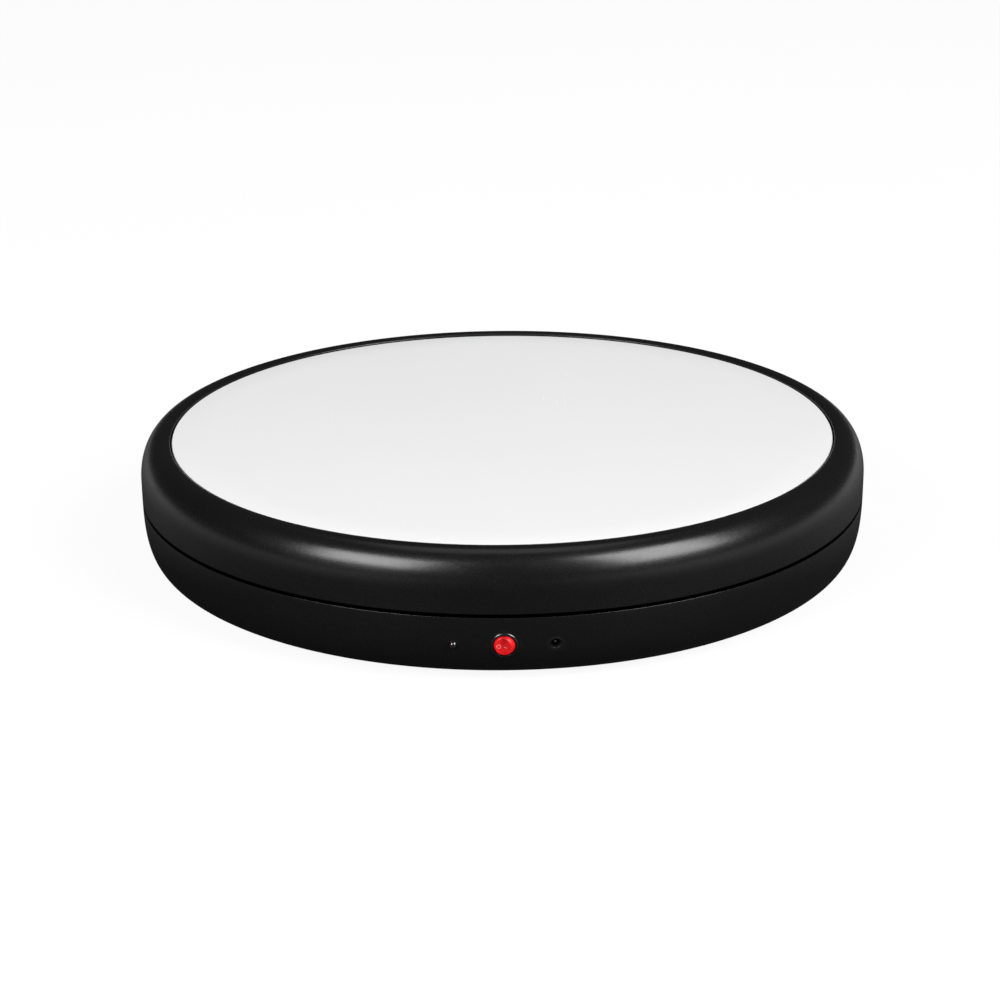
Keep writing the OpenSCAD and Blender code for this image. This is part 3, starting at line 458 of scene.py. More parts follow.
# --------------------------------------------------------------------------
# single finishes
# --------------------------------------------------------------------------
def rubber_material():
    mat = Mat("rubber_black")
    color = (0.014, 0.014, 0.014)
    surface = mat.mottle(scaled(color, 0.7), scaled(color, 1.5), scale=60.0, detail=5.0, rough=0.65)
    bloom = mat.span(mat.noise(scale=25.0, detail=3.0, rough=0.6, seed=6.0),
                     over=(0.5, 0.7), to=(0.0, 0.25))
    mat.set(Base_Color=mat.mix(bloom, surface, (0.09, 0.088, 0.085)),
            Sheen_Weight=0.15, Sheen_Roughness=0.5, Specular_IOR_Level=0.35)
    mat.rough_noise(to=(0.6, 0.84), scale=180.0, detail=4.0, rough=0.6, seed=2.0)
    mat.bump_noise(strength=0.5, depth=0.05, scale=1400.0, detail=3.0, rough=0.6, seed=1.0)
    mat.bump_noise(strength=0.15, depth=0.2, scale=120.0, seed=3.0)
    return mat.material


def shell_material():
    """The outer shells: satin black with a fine grain."""
    mat = Mat("shell_black")
    color = (0.0040, 0.0040, 0.0043)
    surface = mat.mottle(scaled(color, 0.8), scaled(color, 1.25), at=(0.25, 0.75),
                         scale=6.0, detail=4.0)
    fine = mat.noise(scale=2600.0, rough=0.6, seed=0.9)
    surface = mat.mix(mat.span(fine, over=(0.5, 0.8), to=(0.0, 0.3)), surface,
                      (0.018, 0.018, 0.019))
    surface = mat.worn_edges(surface, (0.035, 0.035, 0.036), amount=0.12, full=0.54)
    # very light dust
    surface = mat.flecks(surface, (0.3, 0.29, 0.28), amount=0.35,
                         cells=mat.voronoi(scale=520.0, seed=1.7), size=(0.035, 0.075),
                         patches=mat.noise(scale=60.0, detail=3.0, rough=0.6, seed=8.0),
                         within=(0.58, 0.64))
    # painted shade: the baffle deep in the seam is painted near black and given almost no specular,
    # so the seam reads dark; a band of radius and height, metres
    x, y, z = mat.split(mat.coords)
    radius = mat.math("SQRT", mat.math("ADD", mat.times(x, x), mat.times(y, y)))
    deep = mat.times(mat.band(radius, rise=(0.2515, 0.252), fall=(0.2548, 0.2553)),
                     mat.band(z, rise=(0.040, 0.041), fall=(0.0556, 0.0560)))
    scuff = mat.noise(scale=30.0, detail=6.0, rough=0.7, stretch=(1, 1, 5), seed=3.1)
    mat.set(Base_Color=mat.mix(deep, surface, (0.0008, 0.0008, 0.0008)),
            Specular_IOR_Level=mat.span(deep, over=(0.0, 1.0), to=(0.42, 0.03)),
            Roughness=mat.math("ADD", mat.span(scuff, to=(0.22, 0.28)),
                               mat.span(fine, over=(0.35, 0.65), to=(-0.03, 0.05))))
    mat.bump_noise(strength=0.55, depth=0.045, scale=1700.0, rough=0.65, seed=0.3)
    mat.bump(mat.voronoi(scale=1150.0, feature="SMOOTH_F1", seed=2.2), strength=0.35, depth=0.04)
    mat.bump_noise(strength=0.06, depth=0.4, scale=11.0, detail=1.0, rough=0.4, seed=5.5)
    return mat.material


def panel_material():
    """Pale, glossy panel with flecks, haze and hairline scratches."""
    mat = Mat("panel_white")
    color = (0.800, 0.800, 0.800)
    surface = mat.mottle(scaled(color, 0.99), scaled(color, 1.006), at=(0.2, 0.8),
                         scale=3.0, rough=0.4)
    surface = mat.flecks(surface, (0.5, 0.49, 0.48), amount=0.2,
                         cells=mat.voronoi(scale=300.0, seed=4.7), size=(0.02, 0.05),
                         patches=mat.noise(scale=40.0, detail=3.0, rough=0.6, seed=2.0),
                         within=(0.62, 0.68))
    along_x = mat.span(mat.noise(scale=30.0, stretch=(0.6, 60, 1), seed=1.1), over=(0.66, 0.74))
    along_y = mat.span(mat.noise(scale=30.0, stretch=(55, 1.2, 1), seed=5.1), over=(0.67, 0.75))
    haze = mat.span(mat.noise(scale=9.0, rough=0.4, seed=7.0), to=(0.22, 0.27))
    scratch_rough = mat.times(mat.math("ADD", along_x, along_y), 0.008)
    mat.set(Base_Color=surface, Roughness=mat.math("ADD", haze, scratch_rough),
            Specular_IOR_Level=0.3, Coat_Weight=0.1, Coat_Roughness=0.12)
    mat.bump(mat.math("ADD", along_x, along_y), strength=0.008, depth=0.004)
    mat.bump_noise(strength=0.05, depth=0.01, scale=700.0, seed=3.0)
    return mat.material


def rocker_material():
    """Tinted red plastic, with painted shade in the valley along the middle of the rocker, on its
    upper part, and a faint painted red glow.
    """
    mat = Mat("rocker_red")
    cells = mat.voronoi(scale=950.0, seed=0.4)
    surface = mat.mottle((0.50, 0.002, 0.004), (0.78, 0.008, 0.011),
                         scale=420.0, detail=4.0, rough=0.6)
    surface = mat.mix(mat.span(cells, over=(0.1, 0.6), to=(0.0, 0.3)), surface,
                      (0.95, 0.035, 0.035))
    x, _, z = mat.split(mat.coords)
    # distance from the valley, metres; its line lies at x = -0.4 mm
    aside = mat.math("ABSOLUTE", mat.math("ADD", x, 0.0004))
    valley = mat.span(aside, over=(0.0, 0.0034), to=(0.75, 0.0))
    high = mat.span(z, over=(0.0265, 0.034), to=(0.25, 1.0))
    # painted shade: the upper part of the rocker near the valley is painted dark red
    surface = mat.mix(mat.times(valley, high), surface, (0.16, 0.001, 0.002))
    mat.rough_noise(to=(0.3, 0.42), scale=800.0, detail=3.0, seed=2.0)
    mat.bump(cells, strength=0.1, depth=0.05)
    mat.bump_noise(strength=0.08, depth=0.05, scale=500.0, seed=5.0)
    # painted glow: a faint red emission on the rocker, which has no lamp lit inside
    mat.set(Base_Color=surface, Subsurface_Weight=0.25, Subsurface_Scale=0.0008,
            Subsurface_Radius=(1.0, 0.06, 0.04), Coat_Weight=0.1, Coat_Roughness=0.25,
            Specular_IOR_Level=0.28, Emission_Color=(0.9, 0.012, 0.015), Emission_Strength=0.06)
    return mat.material


def dome_material():
    mat = Mat("dome_dark")
    mat.set(Base_Color=mat.mottle((0.006, 0.004, 0.005), (0.018, 0.010, 0.012),
                                  scale=600.0, detail=3.0),
            Coat_Weight=1.0, Coat_Roughness=0.03, Specular_IOR_Level=0.6)
    mat.rough_noise(to=(0.05, 0.13), scale=900.0, detail=3.0, seed=1.0)
    mat.bump_noise(strength=0.05, depth=0.02, scale=700.0, seed=2.0)
    return mat.material


def paint_material():
    mat = Mat("mark_white")
    mat.set(Base_Color=mat.mottle((0.55, 0.17, 0.18), (0.78, 0.30, 0.31),
                                  scale=1500.0, detail=3.0, rough=0.6))
    mat.rough_noise(to=(0.35, 0.55), scale=2200.0, seed=1.0)
    mat.bump_noise(strength=0.2, depth=0.01, scale=2600.0, seed=2.0)
    return mat.material


def board_material():
    """Green solder mask with lighter tracks and pale pads."""
    mat = Mat("board_green")
    tracks = mat.span(mat.voronoi(scale=230.0, feature="DISTANCE_TO_EDGE", seed=0.7),
                      over=(0.03, 0.06), to=(1.0, 0.0))
    surface = mat.mix(tracks, (0.006, 0.09, 0.035), (0.03, 0.2, 0.075))
    pads = mat.span(mat.voronoi(scale=330.0, seed=3.7), over=(0.10, 0.13), to=(1.0, 0.0))
    some = mat.span(mat.noise(scale=70.0, seed=4.4), over=(0.55, 0.58))
    mat.set(Base_Color=mat.mix(mat.times(pads, some), surface, (0.62, 0.6, 0.55)),
            Coat_Weight=0.3, Coat_Roughness=0.2)
    mat.rough_noise(to=(0.22, 0.38), scale=200.0, detail=3.0, seed=1.0)
    mat.bump(tracks, strength=0.35, depth=0.04)
    return mat.material


def roller_material():
    mat = Mat("roller_grey")
    mat.set(Base_Color=mat.mottle((0.03, 0.03, 0.033), (0.06, 0.06, 0.064),
                                  scale=80.0, detail=5.0, rough=0.6),
            Subsurface_Weight=0.05, Subsurface_Scale=0.001)
    mat.rough_noise(to=(0.4, 0.6), scale=220.0, detail=4.0, rough=0.6, seed=2.0)
    mat.bump_noise(strength=0.3, depth=0.03, scale=1300.0, rough=0.6, seed=1.0)
    return mat.material


SHELL = shell_material()
PANEL = panel_material()
ROCKER = rocker_material()
DOME = dome_material()
PAINT = paint_material()
RUBBER = rubber_material()
ROLLER = roller_material()
NYLON = nylon("nylon_natural", (0.72, 0.70, 0.64), rough=0.4)
ACETAL = nylon("acetal_white", (0.82, 0.81, 0.77), rough=0.32)
GEARS = nylon("acetal_cream", (0.70, 0.64, 0.47), rough=0.35)
CASE = plastic("case_black", (0.02, 0.02, 0.021), rough=0.5, grain=900.0, depth=0.05, wear=0.4)
SWITCH = plastic("switch_black", (0.004, 0.004, 0.0045), rough=0.24, grain=2200.0, depth=0.006,
                 wear=0.1, coat=1.0, coat_rough=0.19)
SOCKET = plastic("socket_black", (0.0045, 0.0045, 0.005), rough=0.5, grain=1800.0, depth=0.02,
                 wear=0.05, specular=0.2)
TAPE = plastic("tape_foam", (0.66, 0.64, 0.58), rough=0.75, grain=700.0, depth=0.12, spread=0.12)
CHIP = plastic("chip_epoxy", (0.012, 0.012, 0.012), rough=0.55, grain=2600.0, depth=0.03)
SLEEVE = plastic("sleeve_dark", (0.012, 0.013, 0.04), rough=0.3, grain=1200.0, depth=0.01)
WIRE = plastic("wire_insulation", (0.24, 0.012, 0.012), rough=0.42, grain=1600.0, depth=0.02,
               spread=0.4)
ZINC = metal("zinc_plate", (0.60, 0.61, 0.62), rough=0.32)
STEEL = metal("turned_steel", (0.58, 0.575, 0.57), rough=0.26, stretch=(1, 1, 26))
RACE = metal("bearing_steel", (0.68, 0.69, 0.70), rough=0.14, stretch=(1, 1, 40), wear=0.1)
CAN = metal("can_steel", (0.55, 0.55, 0.545), rough=0.34, stretch=(14, 14, 1))
ALUMINIUM = metal("turned_aluminium", (0.66, 0.665, 0.67), rough=0.3, wear=0.12)
BRASS = metal("tinned_brass", (0.62, 0.50, 0.26), rough=0.3, wear=0.4, tarnish=(0.2, 0.13, 0.06))
BOARD = board_material()

# each finish and the frame's pieces that wear it; the support rollers are apart
FINISHES = (
    (SHELL, "base_shell rim_shell"),
    (PANEL, "top_panel"),
    (TAPE, "panel_tape"),
    (RUBBER, "rubber_feet plate_grommets"),
    (ZINC, "foot_screws spindle_screws bracket_screws plate_screws gearbox_screws board_screws "
           "hub_screws ring_gear_screws track_screws motor_plate spindle_washer spindle_nut "
           "socket_pin"),
    (STEEL, "spindle bearing_spacer roller_axles roller_track gear_pins output_gear motor_rotor"),
    (CAN, "motor_can"),
    (RACE, "bearing_inner_races bearing_outer_races bearing_balls"),
    (BRASS, "bearing_cages motor_terminals control_terminals"),
    (NYLON, "roller_brackets board_connectors"),
    (ALUMINIUM, "hub"),
    (ACETAL, "ring_gear drive_pinion"),
    (GEARS, "idler_gear_1 idler_gear_2"),
    (CASE, "gearbox_case gearbox_cover motor_end_cap"),
    (BOARD, "control_board"),
    (CHIP, "board_chip"),
    (SLEEVE, "board_capacitor"),
    (SWITCH, "switch_body"),
    (SOCKET, "socket_body indicator_holder"),
    (ROCKER, "switch_rocker"),
    (DOME, "indicator_dome"),
    (WIRE, "front_cables motor_cable"),
)


def finish_frame():
    finish_of = {name: finish for finish, names in FINISHES for name in names.split()}
    for name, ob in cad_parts.items():
        finish = ROLLER if name.startswith("support_roller") else finish_of[name]
        ob.data.materials.clear()
        ob.data.materials.append(finish)
        # CAD solids have split corners: join them for shading, then split at real edges
        weld = ob.modifiers.new("weld", "WELD")
        weld.merge_threshold = 1e-6
        corners = ob.modifiers.new("corners", "EDGE_SPLIT")
        corners.split_angle = math.radians(32)
        ob.data.polygons.foreach_set("use_smooth", [True] * len(ob.data.polygons))


def finish_piece(ob, body, material, slot, *nodes):
    """Gives a piece its material, hangs it on its body's empty and hides the frame's pieces it
    stands in for.
    """
    ob.data.materials.clear()
    ob.data.materials.append(material)
    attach(ob, body)
    if nodes:
        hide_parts(*nodes)


# --------------------------------------------------------------------------
# shells, panel and feet
# --------------------------------------------------------------------------
RIB_Y = (-1.2, 1.2)         # thickness of the straight radial ribs
RIB_CHAMFER = 0.25


def build_rim():
    t_end = lower_angle(SEAM_Z - FOOT_H + SEAM_GAP / 2)
    outer = [wall_point(math.pi / 2 * (1 - (i / 56)), *UPPER) for i in range(57)]
    outer += [wall_point(t_end * i / 10, *LOWER) for i in range(1, 11)]
    end_r, end_z = outer[-1]
    # the crest rolls over into the recess the panel lies in
    lip = [(LIP_R + (CREST_R - LIP_R) * (1 - math.cos(a)), CREST_Z - 1.6 + 1.6 * math.sin(a))
           for a in quarter(12)[:-1]]
    bottom = fillet([outer[-2], (end_r, end_z), (end_r - WALL, end_z), (end_r - WALL, end_z + 2)],
                    {1: 0.45, 2: 0.4}, 4)[1:-1]
    inner = [p for p in inset(outer, WALL)
             if end_z + 0.8 < p[1] < DECK_LOW - 1.5 and p[0] > RIM_R - 9]
    profile = [(22.0, DECK_LOW), (22.0, DECK_TOP), (LIP_R, DECK_TOP)]
    profile += lip + outer[:-1] + bottom + inner[::-1]
    profile += fillet([inner[0], (inner[0][0] - 1.2, DECK_LOW), (RIM_R - 14, DECK_LOW)],
                      {1: 1.5}, 4)[1:]
    # two annular ribs under the deck (outer and inner radius), down to the roller track
    track_z = 61.5
    for a, b in ((201.6, 199.2), (178.6, 176.2)):
        profile += [(a + 0.6, DECK_LOW), (a, DECK_LOW - 0.6), (a, track_z + 0.2),
                    (a - 0.2, track_z), (b + 0.2, track_z), (b, track_z + 0.2),
                    (b, DECK_LOW - 0.6), (b - 0.6, DECK_LOW)]
    build = Build()
    build.lathe(profile, 384, closed=True)
    for i in range(12):
        for span in ((103, 176.8), (201, 246)):
            build.box(span, RIB_Y, (DECK_LOW - 10, DECK_LOW + 0.6), RIB_CHAMFER,
                      turn(15 + 30 * i))
    # hollow bosses beside the inner annular rib
    boss = [(1.3, 76), (1.3, track_z), (4.0, track_z), (4.2, 61.8), (4.2, DECK_LOW + 0.5),
            (0, DECK_LOW + 0.5), (0, 76)]
    for i in range(6):
        build.lathe(boss, 32, matrix=turn(30 + 60 * i) @ move(180.6, 0, 0))
    ob = build.done("rim", angle=SHELL_ANGLE)
    # countersunk holes round the middle of the deck
    hole = [(0, 70), (2.1, 70), (2.1, DECK_TOP - 2.2), (4.3, DECK_TOP), (4.3, DECK_TOP + 3),
            (0, DECK_TOP + 3)]
    cut(ob, [cutter(hole, 32, turn(60 * i) @ move(36, 0, 0)) for i in range(6)])
    finish_piece(ob, "platform", SHELL, "shell", "rim_shell")


CONTROL_H = CONTROL_Z - FOOT_H
CONTROL_R = lower_radius(CONTROL_H)
WALL_TILT = math.atan((lower_radius(CONTROL_H + 5) - lower_radius(CONTROL_H - 5)) / 10)


def on_wall(angle):
    """Matrix, in mm, from a control's own axes (its +Z points out of the wall) to the frame."""
    return (Matrix.Rotation(angle, 4, "Z") @ move(0, -CONTROL_R, CONTROL_Z)
            @ Matrix.Rotation(math.pi / 2 + WALL_TILT, 4, "X"))


def base_profile():
    """From the axis along the floor, up inside, over the seam lip, down outside, to the axis."""
    t_start = lower_angle(SEAM_Z - FOOT_H - SEAM_GAP / 2)
    outer = [wall_point(t_start + (math.pi / 2 - t_start) * i / 52, *LOWER) for i in range(53)]
    top_r, top_z = outer[0]
    baffle_r = RIM_R - WALL - 2.6
    inner = [p for p in inset(outer, WALL) if FLOOR_TOP + 0.5 < p[1] < SEAM_Z - 12][::-1]
    profile = [(0.0, FLOOR_TOP)]
    # annular ribs on the floor: inner and outer radius
    for a, b in ((59.6, 62), (148.8, 151.2), (226.8, 229.2)):
        profile += [(a, FLOOR_TOP), (a, FLOOR_TOP + 9.8), (a + 0.2, FLOOR_TOP + 10),
                    (b - 0.2, FLOOR_TOP + 10), (b, FLOOR_TOP + 9.8), (b, FLOOR_TOP)]
    profile += fillet([(230, FLOOR_TOP), (inner[0][0] - 1.5, FLOOR_TOP), inner[1]],
                      {1: 3.0}, 5)[1:-1]
    profile += inner[1:]
    # the baffle that stands up behind the seam
    profile += [(baffle_r - 2, SEAM_Z - 8.5), (baffle_r - 2, SEAM_Z + 6),
                (baffle_r - 1.6, SEAM_Z + 6.5), (baffle_r - 0.4, SEAM_Z + 6.5),
                (baffle_r, SEAM_Z + 6)]
    profile += fillet([(baffle_r, top_z - 3), (top_r, top_z), outer[2]], {1: 0.35}, 6)[:-1]
    profile += outer[2:]
    return profile + resample(outer[-1], (60.0, FOOT_H), 20.0)[1:] + [(0.0, FOOT_H)]


def build_base():
    build = Build()
    build.lathe(base_profile(), 720)
    for i in range(12):
        # two of the radial ribs stop short of the motor
        for span in ((61, 100), (150, 248)) if i in (2, 3) else ((61, 248),):
            build.box(span, RIB_Y, (FLOOR_TOP - 0.6, FLOOR_TOP + 10), RIB_CHAMFER,
                      turn(15 + 30 * i))

    def boss(x, y, radius, top, hole, depth, matrix=Matrix.Identity(4)):
        profile = [(0, top - depth), (hole, top - depth), (hole, top), (radius - 0.3, top),
                   (radius, top - 0.3), (radius, FLOOR_TOP + 1.2),
                   (radius + 1.0, FLOOR_TOP - 0.4), (0, FLOOR_TOP - 0.4)]
        build.lathe(profile, 28, matrix=matrix @ move(x, y, 0))

    # tall posts behind the middle
    for x in (-42, 49):
        for y in (66, 136):
            boss(x, y, radius=5, top=60.5, hole=1.7, depth=14.5)
    # pairs of low bosses, with one at each foot between them
    for i in range(6):
        for y in (-14, 14):
            boss(190, y, radius=5, top=FLOOR_TOP + 6, hole=1.7, depth=5.8, matrix=turn(60 * i))
        boss(FOOT_PITCH_R, 0, radius=4.5, top=FLOOR_TOP + 8, hole=1.55, depth=4.0,
             matrix=turn(30 + 60 * i))
    # four bosses in the front half
    for x in (-31, 31):
        for y in (-161, -119):
            boss(x, y, radius=3.2, top=FLOOR_TOP + 14, hole=1.3, depth=9.4)
    ob = build.done("base", angle=SHELL_ANGLE)
    switch_hole = [(0, -9), (8.36, -9), (8.36, -0.45), (9.25, -0.45), (9.25, 5), (0, 5)]
    socket_hole = [(0, -9), (4.6, -9), (4.6, 5), (0, 5)]
    indicator_hole = [(0, -9), (2.75, -9), (2.75, -0.3), (3.1, 0.05), (3.1, 5), (0, 5)]
    # countersunk from below, round the axis
    floor_hole = [(0, FOOT_H - 1), (4.75, FOOT_H - 1), (4.75, FOOT_H + 0.1), (2.6, FOOT_H + 2.2),
                  (2.6, FOOT_H + 5), (0, FOOT_H + 5)]
    cutters = [cutter(switch_hole, 128, on_wall(0)),
               cutter(socket_hole, 96, on_wall(CONTROL_STEP)),
               cutter(indicator_hole, 96, on_wall(-CONTROL_STEP))]
    cutters += [cutter(floor_hole, 40, turn(45 + 90 * i) @ move(22, 0, 0)) for i in range(4)]
    cut(ob, cutters)
    finish_piece(ob, "base", SHELL, "shell", "base_shell")


def build_panel():
    edge = 0.7
    profile = resample((0.0, PANEL_LOW), (PANEL_R - 0.3, PANEL_LOW), 30)
    profile += [(PANEL_R, PANEL_LOW + 0.3)]
    profile += [(PANEL_R - edge + edge * math.cos(a), PANEL_TOP - edge + edge * math.sin(a))
                for a in quarter(8)]
    profile += resample((PANEL_R - edge, PANEL_TOP), (0.0, PANEL_TOP), 24)[1:]
    ob = Build().lathe(profile, 384).done("panel", angle=SHELL_ANGLE)
    finish_piece(ob, "platform", PANEL, "panel", "top_panel")


def build_feet():
    # radius from the foot's own axis, z: the hole, the grooved sole, the flared side
    profile = [
        (1.55, 2.2), (3.6, 2.2), (3.6, 0.5), (3.8, 0.15), (4.3, 0.0),
        (6.0, 0.0), (6.4, 0.25), (6.8, 0.25), (7.2, 0.0), (8.6, 0.0),
        (9.0, 0.25), (9.4, 0.25), (9.8, 0.0), (10.2, 0.0),
        (10.8, 0.2), (11.0, 0.7), (11.5, 2.2), (12.0, 3.7), (12.2, FOOT_H), (1.55, FOOT_H),
    ]
    build = Build()
    for i in range(6):
        build.lathe(profile, 96, closed=True, matrix=turn(30 + 60 * i) @ move(FOOT_PITCH_R, 0, 0))
    finish_piece(build.done("feet", angle=40), "base", RUBBER, "rubber", "rubber_feet")


# --------------------------------------------------------------------------
# front controls, each in its own axes: z = 0 on the wall, +Z outward
# --------------------------------------------------------------------------
BEZEL_H = 1.05
BEZEL_R, BORE_R, BODY_R = 9.05, 7.5, 8.3
BEZEL_FLAT_R = 7.75         # where the flat ends and the outer roll begins
PIVOT_Z = -1.6
ROCKER_R = 7.1              # side of the rocker, a sphere about the pivot
ROCKER_LOW = -3.6
ROCKER_EDGE = 0.5           # round between face and side
ROCKER_SEGMENTS, FACE_STEPS, EDGE_STEPS, SIDE_STEPS = 160, 22, 6, 14
ROCKER_PLACE = on_wall(0) @ move(0, 0, PIVOT_Z) @ Matrix.Rotation(math.radians(-11), 4, "Y")


def build_switch():
    # a rounded inner lip, a narrow flat, then a broad roll down to the wall
    profile = [(0, -10.5), (BORE_R, -10.5), (BORE_R, BEZEL_H - 0.15)]
    profile += [(BORE_R + 0.12 - 0.12 * math.cos(a), BEZEL_H - 0.12 + 0.12 * math.sin(a))
                for a in quarter(5, first=1)]
    profile += [(BEZEL_FLAT_R + (BEZEL_R - BEZEL_FLAT_R) * math.sin(a), BEZEL_H * math.cos(a))
                for a in quarter(14)]
    profile += [(BEZEL_R, -0.45), (BODY_R, -0.45), (BODY_R, -15.6), (BODY_R - 0.4, -16), (0, -16)]
    build = Build()
    build.lathe(profile, 128)
    for side in (-1, 1):
        x = side * (BODY_R - 0.5)
        build.box((x - 0.6, x + 0.6), (-2, 2), (-7, -5.2), chamfer=0.2)
    ob = build.done("switch_bezel", matrix=on_wall(0), angle=28)
    finish_piece(ob, "base", SWITCH, "switch_black", "switch_body")


def rocker_top(x):
    """Height of the rocker's V-shaped face above its pivot, rounded at the valley."""
    valley = 0.5
    return 3.5 + (math.sqrt(x * x + valley * valley) - valley) * math.tan(math.radians(12)) * 1.05


def rocker_meridian(angle):
    """(radius, z) points from the face's centre, over its edge and down the side."""
    cosine = math.cos(angle)
    # settle on the radius where the face meets the side
    reach = 6.0
    for _ in range(40):
        z = rocker_top(reach * cosine)
        reach += 0.4 * (math.sqrt(ROCKER_R * ROCKER_R - z * z) - reach)
    z = rocker_top(reach * cosine)
    points = []
    for i in range(FACE_STEPS + 1):
        radius = (reach - ROCKER_EDGE) * i / FACE_STEPS
        points.append((radius, rocker_top(radius * cosine)))
    side_top = math.atan2(z, reach) - ROCKER_EDGE / ROCKER_R
    side_low = math.asin(ROCKER_LOW / ROCKER_R)
    start, corner = Vector(points[-1]), Vector((reach, z))
    end = Vector((ROCKER_R * math.cos(side_top), ROCKER_R * math.sin(side_top)))
    points += [bend(start, corner, end, i / EDGE_STEPS) for i in range(1, EDGE_STEPS + 1)]
    for i in range(1, SIDE_STEPS + 1):
        a = side_top + (side_low - side_top) * i / SIDE_STEPS
        points.append((ROCKER_R * math.cos(a), ROCKER_R * math.sin(a)))
    points.append((ROCKER_R * math.cos(side_low) - 0.6, ROCKER_LOW))
    return points


def build_rocker():
    """The rocker with its pivot at the origin, tilted by ROCKER_PLACE."""
    angles = [2 * math.pi * k / ROCKER_SEGMENTS for k in range(ROCKER_SEGMENTS)]
    meridians = [rocker_meridian(a) for a in angles]
    count = len(meridians[0])
    verts = [(0, 0, rocker_top(0))]
    for j in range(1, count):
        for a, meridian in zip(angles, meridians):
            radius, z = meridian[j]
            verts.append((radius * math.cos(a), radius * math.sin(a), z))
    verts.append((0, 0, ROCKER_LOW))

    def at(j, k):
        return 1 + (j - 1) * ROCKER_SEGMENTS + k % ROCKER_SEGMENTS

    faces = []
    for k in range(ROCKER_SEGMENTS):
        faces.append((0, at(1, k), at(1, k + 1)))
        for j in range(1, count - 1):
            faces.append((at(j, k), at(j + 1, k), at(j + 1, k + 1), at(j, k + 1)))
        faces.append((at(count - 1, k), len(verts) - 1, at(count - 1, k + 1)))
    build = Build()
    build.add((verts, faces))
    # the pivot pin along Y, and a block below
    build.lathe([(0, -7.95), (0.79, -7.95), (0.79, 7.95), (0, 7.95)], 24,
                matrix=Matrix.Rotation(math.pi / 2, 4, "X"))
    build.box((-1.2, 1.2), (-3, 3), (-6, -2.5), chamfer=0.2)
    ob = build.done("rocker_lens", matrix=ROCKER_PLACE, angle=60)
    finish_piece(ob, "rocker", ROCKER, "rocker_red", "switch_rocker")


def stroke(points, width, closed):
    """A thin raised stroke along (x, y) points, following the rocker's face."""
    lift, sink = 0.045, 0.05
    # across the stroke: place as a share of the width, height above the face
    section = ((-0.5, -sink), (-0.42, lift), (0.42, lift), (0.5, -sink))
    n = len(points)
    verts, faces = [], []
    for i, (x, y) in enumerate(points):
        if closed:
            before, after = points[(i - 1) % n], points[(i + 1) % n]
        else:
            before, after = points[max(i - 1, 0)], points[min(i + 1, n - 1)]
        along = Vector((after[0] - before[0], after[1] - before[1])).normalized()
        for share, height in section:
            px, py = x - along.y * width * share, y + along.x * width * share
            verts.append((px, py, rocker_top(px) + height))
    for i in range(n if closed else n - 1):
        j = (i + 1) % n
        for k in range(4):
            m = (k + 1) % 4
            faces.append((i * 4 + k, i * 4 + m, j * 4 + m, j * 4 + k))
    if not closed:
        faces.append((0, 1, 2, 3))
        faces.append(tuple((n - 1) * 4 + k for k in (3, 2, 1, 0)))
    return verts, faces


def build_marks():
    """The off ring and the on bar."""
    angles = [2 * math.pi * i / 48 for i in range(48)]
    ring = [(-3.0 + 1.25 * math.cos(a), 0.05 + 1.25 * math.sin(a)) for a in angles]
    bar = [(0.25 + 1.9 * i / 12, -0.35 - 0.3 * i / 12) for i in range(13)]
    build = Build()
    build.add(stroke(ring, width=0.44, closed=True))
    build.add(stroke(bar, width=0.48, closed=False))
    ob = build.done("rocker_marks", matrix=ROCKER_PLACE, angle=40)
    finish_piece(ob, "rocker", PAINT, "rocker_red")


def build_socket():
    sleeve = [
        (0.62, -14), (0.62, -11.5), (3.2, -11.5), (3.2, -0.6), (3.25, -0.4), (3.45, -0.18),
        (3.7, -0.1), (4.35, -0.1), (4.55, -0.3), (4.55, -5.2), (4.2, -5.3), (4.2, -14),
    ]
    build = Build()
    build.lathe(sleeve, 96, closed=True)
    # four blocks make a square body round the sleeve
    for y in ((-5.4, -1.5), (1.5, 5.4)):
        build.box((-4.8, 4.8), y, (-14, -5.1), chamfer=0.35)
    for x in ((-4.8, -3.3), (3.3, 4.8)):
        build.box(x, (-5.3, 5.3), (-13.95, -5.12))
    ob = build.done("socket_shell", matrix=on_wall(CONTROL_STEP), angle=28)
    finish_piece(ob, "base", SOCKET, "switch_black", "socket_body")

    pin = [(0, -13.9), (0.6, -13.9), (0.6, -11.2), (1.0, -11.2), (1.05, -11.1), (1.05, -3.7)]
    pin += [(0.72 + 0.33 * math.cos(a), -3.7 + 0.7 * math.sin(a)) for a in quarter(6, first=1)]
    pin += [(0, -3.0)]
    ob = Build().lathe(pin, 48).done("socket_centre_pin", matrix=on_wall(CONTROL_STEP), angle=40)
    finish_piece(ob, "base", ZINC, "steel", "socket_pin")


def build_dome():
    radius = 2.55
    profile = [(0, -7.2), (2.9, -7.2), (2.9, -6.25), (2.48, -6.2), (2.48, -1.7), (radius, -1.6)]
    profile += [(radius * math.cos(a), 0.1 + radius * math.sin(a)) for a in quarter(20)[:-1]]
    profile += [(0, 0.1 + radius)]
    build = Build()
    build.lathe(profile, 96)
    # two legs behind
    for x in (-1.27, 1.27):
        build.box((x - 0.25, x + 0.25), (-0.25, 0.25), (-13.5, -7.0), chamfer=0.05)
    ob = build.done("indicator_lens", matrix=on_wall(-CONTROL_STEP), angle=40)
    finish_piece(ob, "base", DOME, "dome", "indicator_dome")


